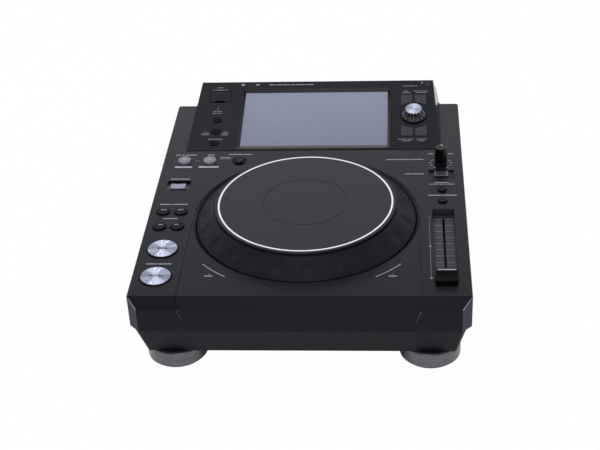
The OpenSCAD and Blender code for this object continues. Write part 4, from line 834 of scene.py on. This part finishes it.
def arc_mark(name, start):
    """A strip about the jog wheel's middle: one edge of a small plane, spun through the sweep."""
    clear_selection()
    bpy.ops.mesh.primitive_plane_add(size=ARC_W, location=(ARC_R, 0, 0))
    bpy.ops.object.transform_apply(location=True)
    bpy.ops.object.mode_set(mode="EDIT")
    pick(lambda place: place.y > 0)
    bpy.ops.mesh.delete(type="VERT")
    bpy.ops.mesh.select_all(action="SELECT")
    bpy.ops.transform.translate(value=(0, ARC_W / 2, 0))
    bpy.ops.mesh.spin(steps=ARC_STEPS, angle=-ARC_SWEEP, center=(0, 0, 0), axis=(0, 0, 1))
    bpy.ops.mesh.select_all(action="SELECT")
    bpy.ops.mesh.normals_make_consistent(inside=False)
    bpy.ops.object.mode_set(mode="OBJECT")
    if bpy.context.object.data.polygons[0].normal.z < 0:
        bpy.context.object.data.flip_normals()
    thicken(PRINT_T + PRINT_SINK)
    spin = Matrix.Rotation(start, 4, "Z")
    bpy.context.object.matrix_world = Matrix.Translation((JOG.x, JOG.y, DECK_Z - PRINT_SINK)) @ spin
    close_piece(name, "case", white_ink)


arc_mark("jog_arc_left", ARC_START)
arc_mark("jog_arc_right", 3 * pi - ARC_START - ARC_SWEEP)


# Fader: lines across its plate and along the cap's ridge

plate_mid = deck_spot("fader_plate")
plate_top = Matrix.Translation((0, 0, FADER_HIGH.z))
FADER_SLOT = 2.0
FADER_LINES = 10
FADER_FIRST = -146.6
FADER_STEP = 10.2
LINE_LONG = 6.6
LINE_BESIDE = FADER_SLOT / 2 + 0.8 + LINE_LONG / 2


def fader_rows(first, count, thick):
    """Lines across the fader's plate, one on each side of its slot."""
    rows = []
    for step in range(count):
        y = first + step * FADER_STEP - plate_mid.y
        rows += [bar(plate_mid, side * LINE_BESIDE, y, LINE_LONG, thick) for side in (-1, 1)]
    return rows


fader_lines = fader_rows(FADER_FIRST, FADER_LINES, 0.9)
fader_half_lines = fader_rows(FADER_FIRST + FADER_STEP / 2, FADER_LINES - 1, 0.7)
print_piece("fader_lines", plate_top, fader_lines, faint_ink, "case")
print_piece("fader_half_lines", plate_top, fader_half_lines, dim_ink, "case")

cap_mid = deck_spot("fader_cap")
cap_low, cap_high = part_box("fader_cap")
cap_top = Matrix.Translation((0, 0, cap_high.z))
CAP_LINE_IN = 1.2
cap_line = [bar(cap_mid, 0, 0, (cap_high.x - cap_low.x) / MM - 2 * CAP_LINE_IN, 1.5)]
print_piece("fader_cap_line", cap_top, cap_line, bright_ink, "fader")


# Pointer on the speed knob

knob_top = Matrix.Translation((0, 0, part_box("speed_knob")[1].z))
knob_pointer = [bar(speed, 0.9, 3.9, 1.6, 3.0)]
print_piece("speed_pointer", knob_top, knob_pointer, bright_ink, "speed")


# Jog mode key: painted shade as dark bars at the ends of its recess, and a pale line round the key's front

MODE_RECESS = 1.4 * MM
mode_floor = ON_DECK @ Matrix.Translation((0, 0, -MODE_RECESS))
mode_slot_painted_shade = [bar(mode, side * 11.5, 0, 1.7, 12.4) for side in (-1, 1)]
print_piece("mode_slot_painted_shade", mode_floor, mode_slot_painted_shade, slot_painted_shade, "case")
mode_low, mode_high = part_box("jog_mode_button")
mode_w = (mode_high.x - mode_low.x) / MM
mode_d = (mode_high.y - mode_low.y) / MM
mode_edge = [bar(mode, 0, 0.9 - mode_d / 2, mode_w - 1.6, 0.7)]
mode_edge += [bar(mode, side * (mode_w / 2 - 1.0), 0, 0.5, mode_d - 2.4) for side in (-1, 1)]
mode_top = Matrix.Translation((0, 0, mode_high.z))
print_piece("mode_key_edge", mode_top, mode_edge, faint_ink, "jog_mode")


# Painted highlights: pale rods along the edges between the case's front slope and its corner faces, and along
# the seams in its front

CORNER_CUT = 8.8 * MM
FRONT_SLOPE_H = 9.4 * MM
FRONT_SLOPE_D = 8.9 * MM
EDGE_R = 0.6 * MM
EDGE_SINK = 0.36 * MM
ROD_START = 0.02
ROD_SHARE = 0.94
ROD_TAPER = 0.5
case_low, case_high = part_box("top_case")


def edge_rod(name, start, end, outward, radius, sink, paint):
    """A fine rod laid into an edge of the case, so that a sliver of it shows. It thins towards its end."""
    along = (end - start) * ROD_SHARE
    start = start - outward.normalized() * sink + along * ROD_START
    lie = along.to_track_quat("Z", "Y").to_euler()
    clear_selection()
    bpy.ops.mesh.primitive_circle_add(
        vertices=12, radius=radius, fill_type="NGON", location=start, rotation=lie
    )
    bpy.ops.object.transform_apply(location=True, rotation=True, scale=True)
    bpy.ops.object.mode_set(mode="EDIT")
    bpy.ops.mesh.select_all(action="SELECT")
    bpy.ops.mesh.extrude_region_move(TRANSFORM_OT_translate={"value": along})
    bpy.ops.transform.resize(value=(ROD_TAPER, ROD_TAPER, ROD_TAPER), center_override=start + along)
    bpy.ops.mesh.select_all(action="SELECT")
    bpy.ops.mesh.normals_make_consistent(inside=False)
    bpy.ops.object.mode_set(mode="OBJECT")
    close_piece(name, "case", paint, 60)


UNDERCUT_Z = 49.6 * MM
SEAM_X = 108.7 * MM
SEAM_LEAN = 8.3 * MM
SEAM_HALF = 0.4 * MM
SEAM_EDGE_R = 0.3 * MM
SEAM_SINK = 0.22 * MM
slope_out = Vector((0, -FRONT_SLOPE_H, FRONT_SLOPE_D)).normalized()
front_out = Vector((0, -1, 0))
for side, word in ((-1, "left"), (1, "right")):
    low_end = Vector((side * (case_high.x - CORNER_CUT), case_low.y, DECK_Z - FRONT_SLOPE_H))
    rise = FRONT_SLOPE_H * CORNER_CUT / FRONT_SLOPE_D
    high_end = low_end + Vector((side * CORNER_CUT, CORNER_CUT, rise))
    corner_out = slope_out + Vector((side, -1, 0)).normalized()
    edge_rod("corner_edge_" + word, low_end, high_end, corner_out, EDGE_R, EDGE_SINK, edge_painted_highlight)
    beside = Vector((-side * SEAM_HALF, 0, 0))
    seam_low = Vector((side * (SEAM_X - SEAM_LEAN), case_low.y, UNDERCUT_Z)) + beside
    seam_high = Vector((side * SEAM_X, case_low.y, DECK_Z - FRONT_SLOPE_H)) + beside
    edge_rod("seam_edge_" + word, seam_high, seam_low, front_out, SEAM_EDGE_R, SEAM_SINK, seam_painted_highlight)


# Painted light: a grey strip in the gap round the screen unit, so that the gap reads less dark

GAP_FILL_DOWN = 0.2 * MM
GAP_FILL_T = 0.8 * MM
GAP_FILL_GRIP = 0.2
GAP_FILL_SHORT = 14
UNIT_GAP = 1.0
unit_low, unit_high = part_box("screen_housing")
unit_half = unit_high.x / MM
unit_front = unit_low.y / MM
gap_fill_long = (unit_high.y - unit_low.y) / MM - GAP_FILL_SHORT
gap_fill_wide = UNIT_GAP + 2 * GAP_FILL_GRIP
gap_fill = [bar((0, unit_front - UNIT_GAP / 2), 0, 0, 2 * (unit_half + UNIT_GAP), gap_fill_wide)]
for side in (-1, 1):
    side_gap = (side * (unit_half + UNIT_GAP / 2), unit_front)
    gap_fill.append(bar(side_gap, 0, gap_fill_long / 2, gap_fill_wide, gap_fill_long))
gap_fill_floor = ON_DECK @ Matrix.Translation((0, 0, -GAP_FILL_DOWN - GAP_FILL_T))
print_piece("unit_gap_painted_light", gap_fill_floor, gap_fill, gap_painted_light_grey, "case", GAP_FILL_T)


# Selector: a bell with ribs, and a bright top that the flutes notch

RIB_STEPS = 8
BELL_STEPS = SELECTOR_RIBS * RIB_STEPS
RING_NEAR = 0.01 * MM
# How deep each step between two ribs is pressed in, as a share of the flute's depth
FLUTE_SHAPE = {1: 0.5, 2: 0.9, 3: 1.0, 4: 1.0, 5: 1.0, 6: 0.9, 7: 0.5}
# Rings of the bell and of its top, from below: height, radius and flute depth, in millimetres
BELL = (
    (0.0, 12.7, 0.0), (0.9, 12.7, 0.0), (1.3, 12.4, 0.0), (1.7, 12.1, 0.6),
    (3.0, 11.2, 1.1), (4.6, 10.3, 1.3), (6.4, 9.6, 1.3), (8.6, 9.1, 1.2),
)
BELL_TOP = ((8.6, 9.1, 1.2), (9.1, 9.1, 1.2), (9.4, 8.8, 1.2))


def rib_step(place):
    """Which of a rib's steps a point of the bell stands on, counted round it."""
    return round(atan2(place.y, place.x) / (2 * pi) * BELL_STEPS) % RIB_STEPS


def fluted(name, rings, node, paint):
    """A turned shape, extruded from ring to ring and then pressed in between its ribs."""
    clear_selection()
    height, radius, _ = rings[0]
    bpy.ops.mesh.primitive_circle_add(
        vertices=BELL_STEPS, radius=radius * MM, fill_type="NGON", location=(0, 0, height * MM)
    )
    bpy.ops.object.transform_apply(location=True, rotation=True, scale=True)
    bpy.ops.object.mode_set(mode="EDIT")
    bpy.ops.mesh.select_all(action="SELECT")
    for (low, wide, _), (high, narrow, _) in zip(rings, rings[1:]):
        bpy.ops.mesh.extrude_region_move(TRANSFORM_OT_translate={"value": (0, 0, (high - low) * MM)})
        bpy.ops.transform.resize(value=(narrow / wide, narrow / wide, 1), center_override=(0, 0, high * MM))
    for height, radius, depth in rings:
        for step, share in FLUTE_SHAPE.items():
            if depth:
                pick(lambda place: abs(place.z - height * MM) < RING_NEAR and rib_step(place) == step)
                inward = 1 - share * depth / radius
                bpy.ops.transform.resize(value=(inward, inward, 1), center_override=(0, 0, height * MM))
    bpy.ops.mesh.select_all(action="SELECT")
    bpy.ops.mesh.normals_make_consistent(inside=False)
    bpy.ops.object.mode_set(mode="OBJECT")
    spot = panel_spot("selector_cap") * MM
    bpy.context.object.matrix_world = ON_PANEL @ Matrix.Translation((spot.x, spot.y, 0))
    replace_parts(close_piece(name, "selector_top", paint, 40), node)


fluted("selector_bell", BELL, "selector_knob", selector_black)
fluted("selector_bright_top", BELL_TOP, "selector_cap", selector_silver)


# Power mark: a thin ring on the panel

RING_R = 2.7 * MM
RING_W = 0.8 * MM
POWER_X = 120.5 * MM
POWER_UP = 105.1 * MM
clear_selection()
bpy.ops.mesh.primitive_circle_add(vertices=40, radius=RING_R, fill_type="NGON")
bpy.ops.object.mode_set(mode="EDIT")
bpy.ops.mesh.select_all(action="SELECT")
bpy.ops.mesh.inset(thickness=RING_W)
bpy.ops.mesh.delete(type="FACE")
bpy.ops.object.mode_set(mode="OBJECT")
thicken(PRINT_T + PRINT_SINK)
bpy.context.object.matrix_world = ON_PANEL @ Matrix.Translation((POWER_X, POWER_UP, -PRINT_SINK))
close_piece("power_ring", "case", dim_ink)


# Stage: floor, light and camera

FLOOR_WHITE = 0.985
MIRROR_WHITE = 0.75
# Ground under the case: where it ends, from full to none, and how much of the sheet it hides from the eye
SHADOW_X = (0.10, 0.135)
SHADOW_Y = (0.115, 0.145)
SHADOW_SHARE = 0.85
# The same for what mirrors it
SHADE_X = (0.09, 0.115)
SHADE_Y = (0.168, 0.186)
SHADE_SHARE = 0.9


def floor_paint():
    """White floor: it takes light and shadow, and but for the ground under the case it is seen as a sheet."""
    paint = Paint("floor_white", base_color=tone(244, 244, 244), roughness=0.9, specular=0.1)
    sheet = paint.node("ShaderNodeEmission", None, {"Strength": 1.0})
    across = abs(paint.part(paint.place(), "X"))
    along = abs(paint.part(paint.place(), "Y"))
    shadow = paint.span(across, *SHADOW_X, SHADOW_SHARE, 0.0) * paint.span(along, *SHADOW_Y, 1.0, 0.0)
    shade = paint.span(across, *SHADE_X, SHADE_SHARE, 0.0) * paint.span(along, *SHADE_Y, 1.0, 0.0)
    looked_at = paint.node("ShaderNodeLightPath", out="Is Camera Ray")
    glossy = paint.node("ShaderNodeLightPath", out="Is Glossy Ray")
    mirrored = glossy + paint.node("ShaderNodeLightPath", out="Is Transmission Ray")
    sheet_share = looked_at * (1 - shadow) + mirrored * (1 - shade) * MIRROR_WHITE
    share = paint.maths("MINIMUM", sheet_share, 1.0) * FLOOR_WHITE
    blend = paint.node("ShaderNodeMixShader", None, {0: share, 1: paint.shader, 2: sheet})
    paint.feed(paint.end.inputs["Surface"], blend)
    return paint


FLOOR_SIDE = 14.0
FLOOR_DOWN = 0.02 * MM
clear_selection()
bpy.ops.mesh.primitive_plane_add(size=FLOOR_SIDE, location=(0, 0, -FLOOR_DOWN))
floor = bpy.context.object
floor.name = "floor"
floor.data.materials.append(floor_paint().material)

# Light of the room: full up to the sweep's top, less from the ceiling and less from the camera's side
SKY_WHITE = (0.96, 0.965, 1.0, 1.0)
SWEEP_TOP = 0.4
CEILING_LOW = 0.6
CEILING = 0.4
ROOM = 0.75
ROOM_FROM = -0.6
ROOM_TO = 0.2
world = bpy.data.worlds.new("studio")
bpy.context.scene.world = world
world.use_nodes = True
sky = Nodes(world.node_tree)
around = sky.node("ShaderNodeTexCoord", out="Generated")
sweep = sky.span(sky.part(around, "Z"), SWEEP_TOP, CEILING_LOW, 1.0, CEILING)
behind = sky.span(sky.part(around, "Y"), ROOM_FROM, ROOM_TO, ROOM, 1.0)
light = sky.node("ShaderNodeBackground", None, {"Color": SKY_WHITE, "Strength": sweep * behind})
sky.node("ShaderNodeOutputWorld", None, {"Surface": light})


def soft_box(name, place, aim, wide, tall, watts):
    """A lamp behind a square of cloth: its place and what it faces, its two sides and its power."""
    lamp = bpy.data.lights.new(name, "AREA")
    lamp.shape = "RECTANGLE"
    lamp.size = wide
    lamp.size_y = tall
    lamp.energy = watts
    holder = bpy.data.objects.new(name, lamp)
    bpy.context.scene.collection.objects.link(holder)
    holder.location = place
    holder.rotation_euler = (Vector(aim) - Vector(place)).to_track_quat("-Z", "Y").to_euler()


DECK_MIDDLE = (0, 0, 0.08)
soft_box("overhead_box", (-0.2, 0.25, 1.5), DECK_MIDDLE, 1.0, 1.0, 7.0)
soft_box("streak_box", (-0.56, 0.6, 1.44), DECK_MIDDLE, 0.08, 0.08, 0.75)
soft_box("fan_box", (-0.32, 0.59, 1.5), DECK_MIDDLE, 0.16, 0.16, 0.65)
soft_box("front_box", (0, -0.73, 1.14), (0, -0.15, 0.08), 0.5, 0.5, 2.1)
soft_box("back_box", (0, 1.6, 0.83), (0, 0.05, 0.08), 1.6, 0.4, 3.0)

CAMERA_PLACE = Vector((0.0887, -1.1361, 0.7866))
CAMERA_YAW = radians(-5.03)
CAMERA_PITCH = radians(33.39)
CAMERA_ROLL = radians(-2.94)
PHOTO_W = 600
FOCAL_PIXELS = 1347.4
SENSOR_W = 36.0
level_ahead = Vector((sin(CAMERA_YAW), cos(CAMERA_YAW), 0))
ahead = level_ahead * cos(CAMERA_PITCH) - Vector(UP) * sin(CAMERA_PITCH)
level = Vector((cos(CAMERA_YAW), -sin(CAMERA_YAW), 0))
upward = level.cross(ahead)
right = level * cos(CAMERA_ROLL) + upward * sin(CAMERA_ROLL)
above = upward * cos(CAMERA_ROLL) - level * sin(CAMERA_ROLL)
view = bpy.data.cameras.new("photo_camera")
view.sensor_fit = "HORIZONTAL"
view.sensor_width = SENSOR_W
view.lens = FOCAL_PIXELS * SENSOR_W / PHOTO_W
camera = bpy.data.objects.new("photo_camera", view)
bpy.context.scene.collection.objects.link(camera)
axes = Matrix((right, above, -ahead)).transposed().to_4x4()
camera.matrix_world = Matrix.Translation(CAMERA_PLACE) @ axes
bpy.context.scene.camera = camera
bpy.context.scene.view_settings.view_transform = "Standard"
